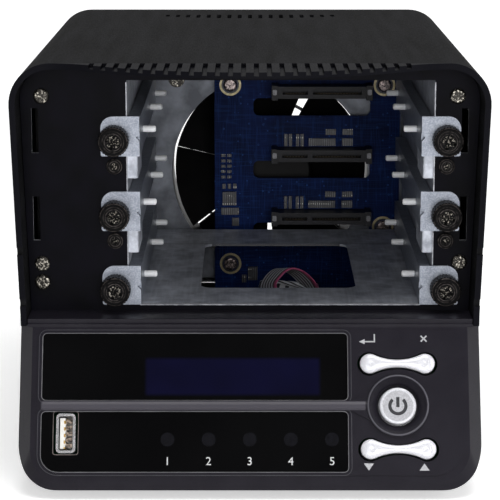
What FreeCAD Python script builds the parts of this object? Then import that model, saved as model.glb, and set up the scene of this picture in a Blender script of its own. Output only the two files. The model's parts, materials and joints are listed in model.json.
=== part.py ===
"""Network media player with three open drive bays above a slanted control console.

Millimetres, +Z up, front towards -Y. The origin is under the middle of the feet's resting plane.
Heights named *_ABOVE_CASE count from the underside of the case, and depths named *_BEHIND_FACE
count rearwards from the front face of the bay plate.
"""
import FreeCAD, Part
import math
import os

V = FreeCAD.Vector
AXIS_X = V(1, 0, 0)
AXIS_Y = V(0, 1, 0)
AXIS_Z = V(0, 0, 1)

# ---- whole case -------------------------------------------------------------------------------
WIDTH = 172.8
DEPTH = 234.0
CASE_HEIGHT = 151.3
FOOT_HEIGHT = 3.5
SHELL_WALL = 2.2
SHELL_REAR_RADIUS = 1.32
SHELL_CORNER_RADIUS = 15.0
SIDE_LEAN = math.radians(1.95)
WAIST_ABOVE_CASE = 59.5
VISOR_REACH = 41.7
VISOR_RADIUS = 88.0
VISOR_BLEND_RADIUS = 25.0
RIM_REACH = 15.0
SHELL_EDGE_ABOVE_CASE = 55.0
RIM_NOTCHES_ABOVE_CASE = (63.7, 82.9)
RIM_NOTCH_HEIGHT = 2.6
RIM_NOTCH_DEPTH = 1.4
VENT_PITCH = 4.5
VENT_WIDTH = 1.75
VENT_END_RADIUS = 0.85
FRONT_VENT_COUNT = 26
FRONT_VENT_DEPTH = 1.3
REAR_VENT_COUNT = 17
REAR_VENT_START_BEFORE_REAR = 42.3
REAR_VENT_END_BEFORE_REAR = 26.3
PLATE_GAP = 0.3
SEAM_GAP = 0.4

# ---- bay face plate ---------------------------------------------------------------------------
FACE_THICKNESS = 1.2
BAY_CENTRE_FROM_RIGHT = 75.2
BAY_HALF_WIDTH = 56.15
BAY_FLOOR_ABOVE_CASE = 59.8
BAY_TOP_BELOW_ROOF = 7.9
# side of the case, distance in from it, height: above the case's underside or, if negative, below its top
FACE_SCREWS = ((-1, 10.3, -13.7), (1, 10.7, -13.7), (-1, 9.6, 75.3), (-1, 9.6, 68.3), (1, 9.0, 75.8))
FACE_SCREW_HEAD_RADIUS = 2.85
CAGE_SCREW_HEAD_RADIUS = 3.0
CAGE_SCREW_DROP = 10.0
SCREW_SHANK_RADIUS = 1.5
SCREW_HEAD_HEIGHT = 1.4
SCREW_LENGTH = 5.0
SCREW_HOLE_RADIUS = 1.8
SCREW_DOME_RADIUS = 0.84
SCREW_CROSS_LENGTH_SHARE = 1.1
SCREW_CROSS_WIDTH_SHARE = 0.25
SCREW_CROSS_DEPTH = 0.77
HOOK_SLOT_FROM_SIDE = 7.8
HOOK_SLOT_WIDTH = 2.5
HOOK_SLOTS_BELOW_ROOF = ((67.3, 50.9), (34.7, 18.2))
CABLE_GAP_FROM_SIDE = 26.4
CABLE_GAP_ABOVE_CASE = (8.0, 46.0)

# ---- drive cage, rails and thumbscrews ---------------------------------------------------------
CAGE_WALL = 1.0
CAGE_FLOOR_BEFORE_BULKHEAD = 20.7
BULKHEAD_THICKNESS = 1.2
CAGE_TOP_FLANGE = 9.0
BULKHEAD_FOOT = 8.0
BOARD_PASS_HEIGHT = 24.0
LEG_WIDTH = 5.5
BAY_COUNT = 3
BAY_HEADROOM = 21.7
LOW_KNOB_ABOVE_FLOOR = 6.2
KNOB_OFFSET_X = 60.9
RAIL_HALF_GAP = 51.6
RAIL_SHEET = 1.0
RAIL_BELOW_KNOB = 5.8
RAIL_ABOVE_KNOB = 7.5
RAIL_BEFORE_BACKPLANE = 20.0
RAIL_SIDE_GAP = 0.3
TAB_BELOW_KNOB = 6.2
TAB_ABOVE_KNOB = 8.5
TAB_OUTER_OFFSET = 65.85
TAB_CORNER_RADIUS = 4.5
TAB_SMALL_RADIUS = 0.8
TAB_LIP_LENGTH = 4.0
TAB_LIP_WIDTH = 3.6
TAB_NOTCH = 1.3
TAB_NOTCH_LENGTH = 3.0
PIN_HEIGHT_ABOVE_KNOB = 0.65
PIN_RADIUS = 1.25
PIN_ROUND = 0.75
PIN_TIP_OFFSET = 46.5
PINS_BEHIND_FACE = (21.5, 81.5, 123.1)
GUIDE_BELOW_KNOB = 6.4
GUIDE_ABOVE_RAIL = 5.65
GUIDE_ROUND = 0.8
GUIDE_REACH = 3.8
GUIDE_LENGTH = 26.0
KNOB_RADIUS = 5.65
KNOB_LENGTH = 7.0
KNOB_TEETH = 30
KNOB_TOOTH_DEPTH = 0.35
KNOB_CHAMFER = 0.9
KNOB_SKIN = 0.01
KNOB_GROOVE_RADIUS = 3.5
KNOB_GROOVE_WIDTH = 0.57
KNOB_GROOVE_DEPTH = 0.5
KNOB_CROSS_TURN = 20
KNOB_CROSS_LENGTH = 5.6
KNOB_CROSS_WIDTH = 1.2
KNOB_CROSS_DEPTH = 2.2
KNOB_SHANK_LENGTH = 5.0
FLOOR_CUTOUT_FROM_BAY = (-30.2, 29.7)
FLOOR_CUTOUT_FRONT_BEHIND_FACE = 27.0
FLOOR_CUTOUT_BEFORE_BULKHEAD = 51.7
FLOOR_CUTOUT_RADIUS = 5.0

# ---- backplane, fan and bulkhead ---------------------------------------------------------------
FAN_FROM_BAY = -2.3
FAN_ABOVE_CASE = 82.0
FAN_SIZE = 92.0
FAN_THICKNESS = 25.0
FAN_BORE_RADIUS = 43.5
FAN_HOLE_SPACING = 82.5
FAN_HOLE_RADIUS = 2.2
FAN_CORNER_RADIUS = 5.0
FAN_FLANGE = 3.5
FAN_WALL = 1.5
FAN_HUB_RADIUS = 18.5
FAN_TIP_GAP = 0.9
FAN_BLADES = 7
FAN_BLADE_TILT = 28.0
FAN_BLADE_THICKNESS = 1.3
FAN_BLADE_ARC = math.radians(47)
FAN_STRUT_WIDTH = 3.5
FAN_PLATE_THICKNESS = 3.0
FAN_HUB_SETBACK = 1.5
FAN_HUB_GAP = 0.8
FAN_HUB_WALL = 1.5
FAN_BEARING_SETBACK = 8.0
FAN_SHAFT_RADIUS = 1.5
FAN_BEARING_RADIUS = 4.0
FAN_RUNNING_GAP = 0.05
BOARD_THICKNESS = 1.6
BOARD_HOLE_RADIUS = 1.6
BACKPLANE_BEFORE_BULKHEAD = 5.7
BACKPLANE_FROM_BAY = (-26.8, 54.8)
BACKPLANE_FOOT_ABOVE_CASE = 22.0
BACKPLANE_TOP_BELOW_ROOF = 23.3
BACKPLANE_WINDOW_FROM_BAY = (-9.7, 41.7)
BACKPLANE_WINDOW_HEIGHT = 7.8
BACKPLANE_WINDOW_BELOW_KNOB = 10.0
BACKPLANE_WINDOW_RADIUS = 2.5
# x from the bays' middle, height: above the case's underside or, if negative, below its top
BACKPLANE_SCREWS = ((-19.85, -29.8), (47.8, -30.0), (-19.85, 41.3), (47.8, 57.9))
BACKPLANE_SCREW_HEAD_RADIUS = 2.9
STANDOFF_RADIUS = 2.5
# x from the bays' middle, height above the row's knob line, width, height, thickness
ROW_CHIPS = ((4.6, 3.2, 1.4, 5.4, 1.1), (6.6, 3.2, 1.4, 5.4, 1.1), (9.8, 3.2, 1.4, 5.4, 1.1),
             (11.8, 3.2, 1.4, 5.4, 1.1), (20.5, 2.4, 11.8, 3.2, 1.4), (31.7, 2.4, 4.7, 3.2, 1.2),
             (24.4, 6.8, 4.5, 2.5, 0.9), (31.8, 6.8, 4.5, 2.5, 0.9))
# x from the bays' middle, height above the case's underside, width, height, thickness
BOARD_CHIPS = ((-20.3, 71.0, 6.0, 6.0, 1.6), (-20.0, 65.2, 7.8, 3.0, 1.2), (-22.7, 76.4, 1.4, 2.2, 0.9),
               (-20.3, 76.4, 1.4, 2.2, 0.9), (-17.9, 76.4, 1.4, 2.2, 0.9), (-17.6, 60.4, 3.0, 3.6, 1.0),
               (-10.0, 37.0, 4.2, 6.0, 1.8), (-13.8, 34.5, 2.0, 3.4, 1.0))
# x from the bays' middle, lowest height above the case's underside, pitch, width, height, thickness
CHIP_COLUMNS = ((-23.0, 80.6, 2.4, 1.8, 1.2, 0.9), (-20.3, 80.6, 2.4, 1.8, 1.2, 0.9))
CHIP_COLUMN_COUNT = 5
SATA_FROM_BAY = 20.15
SATA_WIDTH = 43.8
SATA_HEIGHT = 5.2
SATA_DEPTH = 10.0
SATA_BELOW_KNOB = 2.45
SATA_SLOT_HEIGHT = 1.7
SATA_SLOT_DEPTH = 6.0
SATA_DATA_SLOT = 11.0
SATA_POWER_SLOT = 21.2
SATA_EAR = 2.6
SATA_EAR_REACH = 1.2

# ---- console ----------------------------------------------------------------------------------
CONSOLE_SIDE_GAP = 2.1
CONSOLE_WALL = 2.2
CONSOLE_SLOPE = math.radians(24.6)
CONSOLE_TOP_ABOVE_CASE = 54.6
CONSOLE_TOP_REACH = 15.0
PANEL_LENGTH = 56.6
SKIRT_FORWARD = 0.4
CONSOLE_CORNER_RADIUS = 14.0
BEVEL_WIDTH = 4.9
BEVEL_DEPTH = 7.0
BEVEL_CORNER_RADIUS = 12.0
SHELF_ABOVE_CASE = 57.5
SHELF_STEP = 1.4
SHELF_LEDGE = 0.9
SHELF_LIP = 1.0
SHELF_ROUND = 0.4
FIELD_MARGIN = 7.1
FIELD_TOP = 1.0
FIELD_BOTTOM = 54.3
FIELD_RAISE = 0.3
FIELD_RADIUS = 11.0
FIELD_TOP_RADIUS = 3.0
WINDOW_LEFT_MARGIN = 8.6
WINDOW_RIGHT_MARGIN = 48.6
DISPLAY_TOP = 2.1
DISPLAY_BOTTOM = 27.1
STATUS_TOP = 30.9
STATUS_BOTTOM = 53.2
WINDOW_RADIUS = 1.8
STATUS_CORNER_RADIUS = 6.5
WINDOW_THICKNESS = 1.5
WINDOW_SIDE_GAP = 0.1
LCD_FROM_WINDOW_RIGHT = (73.1, 10.5)
LCD_DOWN = (11.8, 24.8)
LCD_FRAME_MARGIN = 4.0
LCD_FRAME_DEPTH = 8.5
LCD_BOARD_MARGIN = 8.5
LCD_HEADER = (40.6, 2.5)
LED_PITCH = 14.85
LED_FROM_WINDOW_RIGHT = 35.8
LED_DOWN = 41.2
LED_COUNT = 5
LED_RADIUS = 2.5
LED_HOLE_GAP = 0.15
RIB_HEIGHT = 0.9
RIB_CROWN = 0.5
RIB_MARGIN = 0.5
RIB_CREST_ABOVE = 0.4
RIB_CREST_BELOW = 0.9
RIB_FLARE = 3.4
RIB_FLARE_LENGTH = 5.5
BOARD_BACK = 14.0
CONTROL_BOARD_MARGINS = (11.3, 13.3)
CONTROL_BOARD_DOWN = (6.0, 48.5)
POST_RADIUS = 2.6
# x from the left or, if negative, from the right side of the console, and distance down the panel
POSTS = ((26.3, 29.2), (-46.7, 29.2), (-13.1, 10.0), (-13.1, 46.0))

# buttons
BUTTON_FROM_RIGHT = 30.7
BUTTON_DOWN = 28.9
BUTTON_RADIUS = 6.75
BUTTON_TRAVEL = 1.2
BUTTON_GAP = 0.3
BUTTON_SINK = 0.2
BUTTON_FLANGE = 1.0
BUTTON_FLANGE_WIDTH = 1.5
BUTTON_ROUND = 0.8
BUTTON_STEM_RADIUS = 2.0
BUTTON_STEM_LENGTH = 1.5
RING_RADIUS = 11.3
RING_WIDTH = 1.1
RING_HEIGHT = 1.3
RING_ROUND = 0.9
DISH_DEPTH = 1.4
WELL_RADIUS = 7.9
WELL_DEPTH = 3.0
WELL_FLOOR = 1.8
WELL_WALL = 1.6
ROCKER_HALF_SPAN = 10.25
ROCKER_LOBE_RADIUS = 3.85
ROCKER_WAIST = 2.9
ROCKER_GAP = 0.5
ROCKER_PROUD = 1.7
ROCKER_DEPTH = 4.2
ROCKER_EDGE_RADIUS = 1.1
ROCKER_NUB_RADIUS = 1.4
ROCKER_NUB_LENGTH = 3.0
ROCKER_DOWNS = (13.6, 44.9)
ROCKER_TRAVEL = math.radians(3.5)
PIVOT_DEPTH = 3.4
PIVOT_RADIUS = 0.9
PIVOT_FIT = 0.05
PIVOT_REACH = 5.0
LUG_WIDTH = 1.6
LUG_HALF = 2.2
SWITCH_BASE = 6.0
SWITCH_HEIGHT = 3.5
PLUNGER_RADIUS = 1.7
SWITCH_REST_GAP = 0.25

# front socket
USB_FROM_LEFT = 17.7
USB_DOWN = 38.9
USB_MOUTH = (5.1, 12.5)
USB_SHEET = 0.35
USB_LIP = 0.6
USB_CORNER = 0.6
USB_SINK = 0.4
USB_BLOCK = 3.0
USB_RECESS = (8.8, 15.4)
USB_TONGUE_OFFSET = -1.15
USB_TONGUE = (1.9, 11.1)
USB_TONGUE_SINK = 1.0
USB_CONTACT = (0.2, 1.0, 6.5)
USB_CONTACTS = (-3.5, -1.0, 1.0, 3.5)

# ---- lower chassis and rear --------------------------------------------------------------------
PAN_THICKNESS = 1.2
PAN_FLANGE = 12.0
REAR_RECESS = 2.2
REAR_THICKNESS = 1.2
FOOT_RADIUS = 7.5
FOOT_ROUND = 1.0
FOOT_STEM_RADIUS = 1.95
FOOT_STEM_FIT = 0.05
FOOT_STEM_LENGTH = 2.0
FOOT_INSET_X = 14.0
FOOT_FRONT_BEHIND_FACE = 12.0
FOOT_REAR_INSET = 18.0
MAINBOARD_ABOVE_CASE = 8.0
MAINBOARD_MARGIN = 14.4
MAINBOARD_FRONT_BEHIND_FACE = 20.0
MAINBOARD_EDGE_GAP = 0.4
MAINBOARD_HOLE_INSET = 5.0
MAINBOARD_PORT_DEPTH = 24.0
REAR_HOLE_GAP = 0.4
REAR_SCREW_INSET = 6.5
REAR_SCREW_ABOVE_CASE = 38.0
SUPPLY_FROM_SIDE = 5.4
SUPPLY_CAGE_GAP = 2.05
SUPPLY_FOOT_ABOVE_CASE = 52.0
SUPPLY_TOP_BELOW_ROOF = 19.3
SUPPLY_BEHIND_FACE = 25.9
SUPPLY_LEG = 12.0
SUPPLY_VENT_COUNT = 8
SUPPLY_VENT_PITCH = 8.0
SUPPLY_VENT_WIDTH = 3.0
SUPPLY_VENT_DEPTH = 1.0
SUPPLY_VENT_START = 20.0
SUPPLY_VENT_MARGIN = 15.0

INLET_ABOVE_CASE = 92.0
INLET_SIZE = (22.0, 27.5)
INLET_FROM_SUPPLY_SIDE = 16.5
INLET_DEPTH = 13.0
INLET_LIP = 1.8
INLET_PROUD = 1.5
INLET_BACK = 2.0
INLET_POCKET = (16.0, 22.0)
INLET_BLADE = (2.0, 4.0)
INLET_BLADES = ((-3.5, 7.0), (-3.5, -7.0), (3.5, 0.0))
# x, distance behind the board's front edge, width, length, height
MAINBOARD_CHIPS = ((-22.0, 34.0, 27.0, 27.0, 2.2), (-32.0, 70.0, 69.0, 6.0, 9.0),
                   (56.0, 22.0, 17.0, 17.0, 1.6), (57.0, 62.0, 12.0, 16.0, 1.6),
                   (-56.0, 20.0, 11.0, 8.0, 2.4))
# x of the first, pitch, distance behind the board's front edge
CAPACITOR_ROW = (-58.0, 9.0, 92.0)
CAPACITOR_COUNT = 4
CAPACITOR_RADIUS = 3.2
CAPACITOR_HEIGHT = 9.0
HEATSINK_FROM_RIGHT = 48.0
HEATSINK_BEHIND_FACE = 70.0
HEATSINK_SIZE = 38.0
HEATSINK_HEIGHT = 16.0
HEATSINK_FINS = 10
HEATSINK_FIN = 1.4
HEATSINK_BASE = 4.0
GUARD_WIRE = 1.4
GUARD_EYE_RADIUS = 4.2
FAN_SCREW_HEAD_RADIUS = 3.6
FAN_SCREW_HEAD_HEIGHT = 0.6
FAN_SCREW_RADIUS = 2.05
FAN_SCREW_LENGTH = 12.6
GUARD_RINGS = (12.0, 20.0, 28.0, 36.0)

# ---- rear sockets: bodies are width, height, length; mouths are width, rise span, depth ----------
NETWORKS_FROM_LEFT = (18.0, 36.0)
NETWORK_BODY = (16.0, 13.5, 21.0)
NETWORK_MOUTH = (11.8, (2.6, 10.6), 13.0)
NETWORK_LATCH = (4.2, (1.0, 3.0))
REAR_USB_FROM_LEFT = 55.0
REAR_USB_BODY = (14.6, 15.6, 17.0)
REAR_USB_MOUTH = (12.5, 5.1, 12.0)
REAR_USB_BASES = (1.0, 9.2)
REAR_USB_TONGUE = (11.1, (2.7, 4.5))
HDMI_FROM_LEFT = 75.0
HDMI_BODY = (15.2, 6.2, 12.0)
HDMI_MOUTH = ((4.6, 0.8), (7.0, 3.0), (7.0, 5.4))
HDMI_TONGUE = (11.6, (3.4, 4.3))
HDMI_DEPTH = 9.0
ESATA_FROM_RIGHT = 51.0
ESATA_BODY = (15.0, 6.0, 12.0)
ESATA_MOUTH = (12.6, (1.2, 4.8), 8.0)
ESATA_TONGUE = (9.8, (2.5, 3.6))
JACKS_FROM_RIGHT = (37.0, 27.0, 17.0)
JACK_BODY = (9.8, 13.0, 10.0)
JACK_RISE = 7.0
JACK_RADIUS = 4.15
JACK_BORE = 1.6
JACK_DEPTH = 9.0
JACK_PROUD = 2.0
OPTICAL_FROM_RIGHT = 5.6
OPTICAL_BODY = (9.7, 10.0, 13.0)
OPTICAL_MOUTH = (5.6, (3.0, 8.6), 7.0)
TONGUE_ROOT = 0.5
TONGUE_SINK = 1.0

# ---- ribbon cable -----------------------------------------------------------------------------
RIBBON_FROM_BAY = (-7.2, 18.2)
RIBBON_THICKNESS = 0.9
RIBBON_UPPER_ABOVE_CASE = 28.0
RIBBON_LIFT = 20.0
RIBBON_PLUG = 8.0
RIBBON_PLUG_HEIGHT = 7.0
RIBBON_PLUG_MARGIN = 2.0
RIBBON_BEFORE_BACKPLANE = 39.0

# ---- places worked out from the sizes above ----------------------------------------------------
CASE_Z = FOOT_HEIGHT
TOP_Z = CASE_Z + CASE_HEIGHT
FRONT_Y = -DEPTH / 2
REAR_Y = DEPTH / 2
FACE_Y = FRONT_Y + VISOR_REACH
RIM_Y = FACE_Y - RIM_REACH
WAIST_Z = CASE_Z + WAIST_ABOVE_CASE
REAR_FACE_Y = REAR_Y - REAR_RECESS
REAR_INNER_Y = REAR_FACE_Y - REAR_THICKNESS
BULKHEAD_Y = REAR_INNER_Y - FAN_THICKNESS - BULKHEAD_THICKNESS
BACKPLANE_Y = BULKHEAD_Y - BACKPLANE_BEFORE_BULKHEAD
BAY_X = WIDTH / 2 - BAY_CENTRE_FROM_RIGHT
BAY_TOP_Z = TOP_Z - BAY_TOP_BELOW_ROOF
PAN_TOP_Z = CASE_Z + PAN_THICKNESS
MAINBOARD_Z = CASE_Z + MAINBOARD_ABOVE_CASE
MAINBOARD_TOP_Z = MAINBOARD_Z + BOARD_THICKNESS
CORNER_X = WIDTH / 2 - SHELL_CORNER_RADIUS
CORNER_Z = TOP_Z - SHELL_CORNER_RADIUS
FLOOR_Z = CASE_Z + BAY_FLOOR_ABOVE_CASE
LOW_KNOB_Z = FLOOR_Z + LOW_KNOB_ABOVE_FLOOR
BAY_PITCH = (BAY_TOP_Z - BAY_HEADROOM - LOW_KNOB_Z) / (BAY_COUNT - 1)
KNOB_ZS = [LOW_KNOB_Z + row * BAY_PITCH for row in reversed(range(BAY_COUNT))]
GUIDE_HEIGHT = BAY_PITCH - GUIDE_BELOW_KNOB - RAIL_ABOVE_KNOB - GUIDE_ABOVE_RAIL
FAN_X = BAY_X + FAN_FROM_BAY
BACKPLANE_Z = (CASE_Z + BACKPLANE_FOOT_ABOVE_CASE, TOP_Z - BACKPLANE_TOP_BELOW_ROOF)
SATA_X = BAY_X + SATA_FROM_BAY
RIBBON_X = [BAY_X + x for x in RIBBON_FROM_BAY]
CONSOLE_HALF = WIDTH / 2 - CONSOLE_SIDE_GAP
WINDOW_LEFT = WINDOW_LEFT_MARGIN - CONSOLE_HALF
WINDOW_RIGHT = CONSOLE_HALF - WINDOW_RIGHT_MARGIN
LCD_X = [WINDOW_RIGHT - distance for distance in LCD_FROM_WINDOW_RIGHT]
BUTTON_X = CONSOLE_HALF - BUTTON_FROM_RIGHT
USB_X = USB_FROM_LEFT - CONSOLE_HALF
MAINBOARD_X = (MAINBOARD_MARGIN - WIDTH / 2, WIDTH / 2 - MAINBOARD_MARGIN)
NETWORK_XS = [MAINBOARD_X[0] + distance for distance in NETWORKS_FROM_LEFT]
REAR_USB_X = MAINBOARD_X[0] + REAR_USB_FROM_LEFT
HDMI_X = MAINBOARD_X[0] + HDMI_FROM_LEFT
ESATA_X = MAINBOARD_X[1] - ESATA_FROM_RIGHT
JACK_XS = [MAINBOARD_X[1] - distance for distance in JACKS_FROM_RIGHT]
OPTICAL_X = MAINBOARD_X[1] - OPTICAL_FROM_RIGHT
# a length beyond the whole case, and how far a cutter runs past the face it opens
BIG = 2 * (WIDTH + DEPTH + CASE_HEIGHT)
PAST = 1.0


# ---- small builders ---------------------------------------------------------------------------
def box(x_span, y_span, z_span):
    """Box between the low and high value of each span."""
    low = V(x_span[0], y_span[0], z_span[0])
    return Part.makeBox(x_span[1] - x_span[0], y_span[1] - y_span[0], z_span[1] - z_span[0], low)


def rod(radius, start, direction, length):
    return Part.makeCylinder(radius, length, start, direction)


def tube(outer, inner, start, direction, length):
    return rod(outer, start, direction, length).cut(rod(inner, start, direction, length))


def around(centre, size):
    """Span of the given size about a centre."""
    return (centre - size / 2, centre + size / 2)


def outline(corners):
    """Closed face from (point, radius) corners; radius 0 leaves a corner sharp."""
    count = len(corners)
    starts = []
    ends = []
    arcs = []
    for index, (point, radius) in enumerate(corners):
        before = (corners[index - 1][0] - point).normalize()
        after = (corners[(index + 1) % count][0] - point).normalize()
        if radius <= 0:
            starts.append(point)
            ends.append(point)
            arcs.append(None)
            continue
        half = before.getAngle(after) / 2
        setback = radius / math.tan(half)
        inward = (before + after).normalize() * (radius / math.sin(half) - radius)
        starts.append(point + before * setback)
        ends.append(point + after * setback)
        arcs.append(Part.Arc(starts[-1], point + inward, ends[-1]).toShape())
    edges = []
    for index in range(count):
        if arcs[index]:
            edges.append(arcs[index])
        following = starts[(index + 1) % count]
        if (following - ends[index]).Length > 1e-6:
            edges.append(Part.makeLine(ends[index], following))
    return Part.Face(Part.Wire(edges))


def prism(corners, sweep):
    return outline(corners).extrude(sweep)


def slot(x_span, y_span, z_span, radius):
    """Box whose four upright edges are rounded."""
    z = z_span[0]
    corners = [(V(x_span[0], y_span[0], z), radius), (V(x_span[1], y_span[0], z), radius),
               (V(x_span[1], y_span[1], z), radius), (V(x_span[0], y_span[1], z), radius)]
    return prism(corners, V(0, 0, z_span[1] - z))


def joined(shapes):
    """Shapes that touch or overlap, fused into one clean solid."""
    shapes = list(shapes)
    if len(shapes) == 1:
        return shapes[0]
    return shapes[0].fuse(shapes[1:]).removeSplitter()


def without(shape, cutters):
    cutters = list(cutters)
    if not cutters:
        return shape
    return shape.cut(cutters).removeSplitter()


def save(node, shapes):
    """Write one node; several shapes stay separate solids."""
    if not isinstance(shapes, (list, tuple)):
        shapes = [shapes]
    solids = [solid for shape in shapes for solid in shape.Solids]
    whole = solids[0] if len(solids) == 1 else Part.makeCompound(solids)
    whole.exportStep(os.path.join("parts", node + ".step"))
    box_ = whole.BoundBox
    print("%-24s solids %3d  volume %10.1f  z %.2f..%.2f y %.2f..%.2f x %.2f..%.2f valid %s" % (
        node, len(solids), whole.Volume, box_.ZMin, box_.ZMax, box_.YMin, box_.YMax,
        box_.XMin, box_.XMax, whole.isValid()))


def cross_screw(head_radius, seat, direction):
    """Pan-head screw with a cross recess; the head stands on its seat, against the direction."""
    head_height = SCREW_HEAD_HEIGHT
    head = rod(head_radius, seat - direction * head_height, direction, head_height)
    rim = [edge for edge in head.Edges if abs(edge.BoundBox.Center.sub(seat).dot(direction)) > head_height / 2
           and edge.Length > head_radius]
    head = head.makeFillet(SCREW_DOME_RADIUS, rim[:1])
    recess = []
    turn = FreeCAD.Rotation(AXIS_Z, direction)
    for angle in (0, 90):
        bar = box(around(0, head_radius * SCREW_CROSS_LENGTH_SHARE),
                  around(0, head_radius * SCREW_CROSS_WIDTH_SHARE), (-PAST, SCREW_CROSS_DEPTH))
        bar.rotate(V(0, 0, 0), AXIS_Z, angle)
        bar.Placement = FreeCAD.Placement(seat - direction * head_height, turn).multiply(bar.Placement)
        recess.append(bar)
    shank = rod(SCREW_SHANK_RADIUS, seat, direction, SCREW_LENGTH)
    return joined([without(head, recess), shank])


# ---- shell ------------------------------------------------------------------------------------
def side_x(z, inset=0.0):
    """Half-width of the shell at a height; the sides lean in down to the waist."""
    rise = max(z, WAIST_Z) - CORNER_Z
    return CORNER_X + (SHELL_CORNER_RADIUS - inset + rise * math.sin(SIDE_LEAN)) / math.cos(SIDE_LEAN)


def case_section(inset, bottom_z, y):
    """Arch-shaped section of the case, drawn in from the outer skin by the inset."""
    radius = SHELL_CORNER_RADIUS - inset
    top_z = TOP_Z - inset
    top_x = side_x(top_z, inset)
    waist_x = side_x(WAIST_Z, inset)
    right = [(V(waist_x, y, bottom_z), 0), (V(waist_x, y, WAIST_Z), 0), (V(top_x, y, top_z), radius)]
    left = [(V(-corner.x, y, corner.z), bend) for corner, bend in reversed(right)]
    return outline(right + left)


def visor_plan():
    """Everything behind the bowed front edge of the top, as a tall prism."""
    centre_y = FRONT_Y + VISOR_RADIUS
    blend_y = RIM_Y - VISOR_BLEND_RADIUS
    reach = VISOR_RADIUS + VISOR_BLEND_RADIUS
    blend_x = math.sqrt(reach ** 2 - (centre_y - blend_y) ** 2)
    share = VISOR_RADIUS / reach
    touch = V(blend_x * share, centre_y - (centre_y - blend_y) * share, 0)
    lean = math.atan2(touch.y - blend_y, touch.x - blend_x)
    middle_angle = (lean + math.pi / 2) / 2
    middle = V(blend_x + VISOR_BLEND_RADIUS * math.cos(middle_angle),
               blend_y + VISOR_BLEND_RADIUS * math.sin(middle_angle), 0)
    end = V(blend_x, RIM_Y, 0)
    mirror = [V(-point.x, point.y, 0) for point in (touch, middle, end)]
    corners = [V(BIG, RIM_Y, 0), V(BIG, BIG, 0), V(-BIG, BIG, 0), V(-BIG, RIM_Y, 0)]
    edges = [Part.makeLine(corners[index], corners[index + 1]) for index in range(3)]
    edges += [Part.makeLine(corners[3], mirror[2]),
              Part.Arc(mirror[2], mirror[1], mirror[0]).toShape(),
              Part.Arc(mirror[0], V(0, FRONT_Y, 0), touch).toShape(),
              Part.Arc(touch, middle, end).toShape(),
              Part.makeLine(end, corners[0])]
    return Part.Face(Part.Wire(edges)).extrude(V(0, 0, BIG))


def vent_xs(count):
    return [(index - (count - 1) / 2) * VENT_PITCH for index in range(count)]


def outer_shell():
    span = V(0, DEPTH, 0)
    shell = case_section(0, CASE_Z, FRONT_Y).extrude(span)
    rear_edges = [edge for edge in shell.Edges
                  if edge.BoundBox.YMin > REAR_Y - PAST and edge.BoundBox.ZMin > WAIST_Z - PAST]
    shell = shell.makeFillet(SHELL_REAR_RADIUS, rear_edges)
    shell = shell.cut(case_section(SHELL_WALL, CASE_Z - PAST, FRONT_Y).extrude(span))
    shell = shell.common(visor_plan())
    cutters = [box((-BIG, BIG), (FRONT_Y - PAST, FACE_Y), (-BIG, CASE_Z + SHELL_EDGE_ABOVE_CASE))]
    for height in RIM_NOTCHES_ABOVE_CASE:
        cutters.append(box((-BIG, BIG), (RIM_Y - PAST, RIM_Y + RIM_NOTCH_DEPTH),
                           around(CASE_Z + height, RIM_NOTCH_HEIGHT)))
    for x in vent_xs(FRONT_VENT_COUNT):
        z_span = (TOP_Z - FRONT_VENT_DEPTH, TOP_Z + PAST)
        cutters.append(box(around(x, VENT_WIDTH), (FRONT_Y - PAST, RIM_Y), z_span))
    for x in vent_xs(REAR_VENT_COUNT):
        sag = VISOR_RADIUS - math.sqrt(VISOR_RADIUS ** 2 - x ** 2)
        y_span = (REAR_Y - REAR_VENT_START_BEFORE_REAR + sag, REAR_Y - REAR_VENT_END_BEFORE_REAR)
        z_span = (TOP_Z - SHELL_WALL - PAST, TOP_Z + PAST)
        cutters.append(slot(around(x, VENT_WIDTH), y_span, z_span, VENT_END_RADIUS))
    return without(shell, cutters)


# ---- face plate and its screws ------------------------------------------------------------------
def knob_places():
    return [(side, row, V(BAY_X + side * KNOB_OFFSET_X, FACE_Y, KNOB_ZS[row]))
            for side in (-1, 1) for row in range(BAY_COUNT)]


def cage_screw_places():
    return [V(BAY_X + side * KNOB_OFFSET_X, FACE_Y, KNOB_ZS[row] - CAGE_SCREW_DROP)
            for side in (-1, 1) for row in range(BAY_COUNT - 1)]


def face_screw_places():
    return [V(side * (WIDTH / 2 - inset), FACE_Y, height_z(height)) for side, inset, height in FACE_SCREWS]


def height_z(height):
    """Height of a place given above the case's underside or, if negative, below its top."""
    return CASE_Z + height if height > 0 else TOP_Z + height


def bay_span():
    return (BAY_X - BAY_HALF_WIDTH, BAY_X + BAY_HALF_WIDTH)


def face_plate():
    plate = case_section(SHELL_WALL + PLATE_GAP, PAN_TOP_Z, FACE_Y).extrude(V(0, FACE_THICKNESS, 0))
    through = (FACE_Y - PAST, FACE_Y + FACE_THICKNESS + PAST)
    cutters = [box(bay_span(), through, (FLOOR_Z, BAY_TOP_Z))]
    gap_z = [CASE_Z + height for height in CABLE_GAP_ABOVE_CASE]
    cutters.append(box(around(0, WIDTH - 2 * CABLE_GAP_FROM_SIDE), through, gap_z))
    for side in (-1, 1):
        for low, high in HOOK_SLOTS_BELOW_ROOF:
            x_span = around(side * (WIDTH / 2 - HOOK_SLOT_FROM_SIDE), HOOK_SLOT_WIDTH)
            cutters.append(box(x_span, through, (TOP_Z - low, TOP_Z - high)))
    places = [place for _, _, place in knob_places()] + cage_screw_places() + face_screw_places()
    for place in places:
        cutters.append(rod(SCREW_HOLE_RADIUS, place - AXIS_Y * PAST, AXIS_Y, FACE_THICKNESS + 2 * PAST))
    return without(plate, cutters)


def face_screws():
    return [cross_screw(FACE_SCREW_HEAD_RADIUS, place, AXIS_Y) for place in face_screw_places()]


def cage_screws():
    return [cross_screw(CAGE_SCREW_HEAD_RADIUS, place, AXIS_Y) for place in cage_screw_places()]


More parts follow.
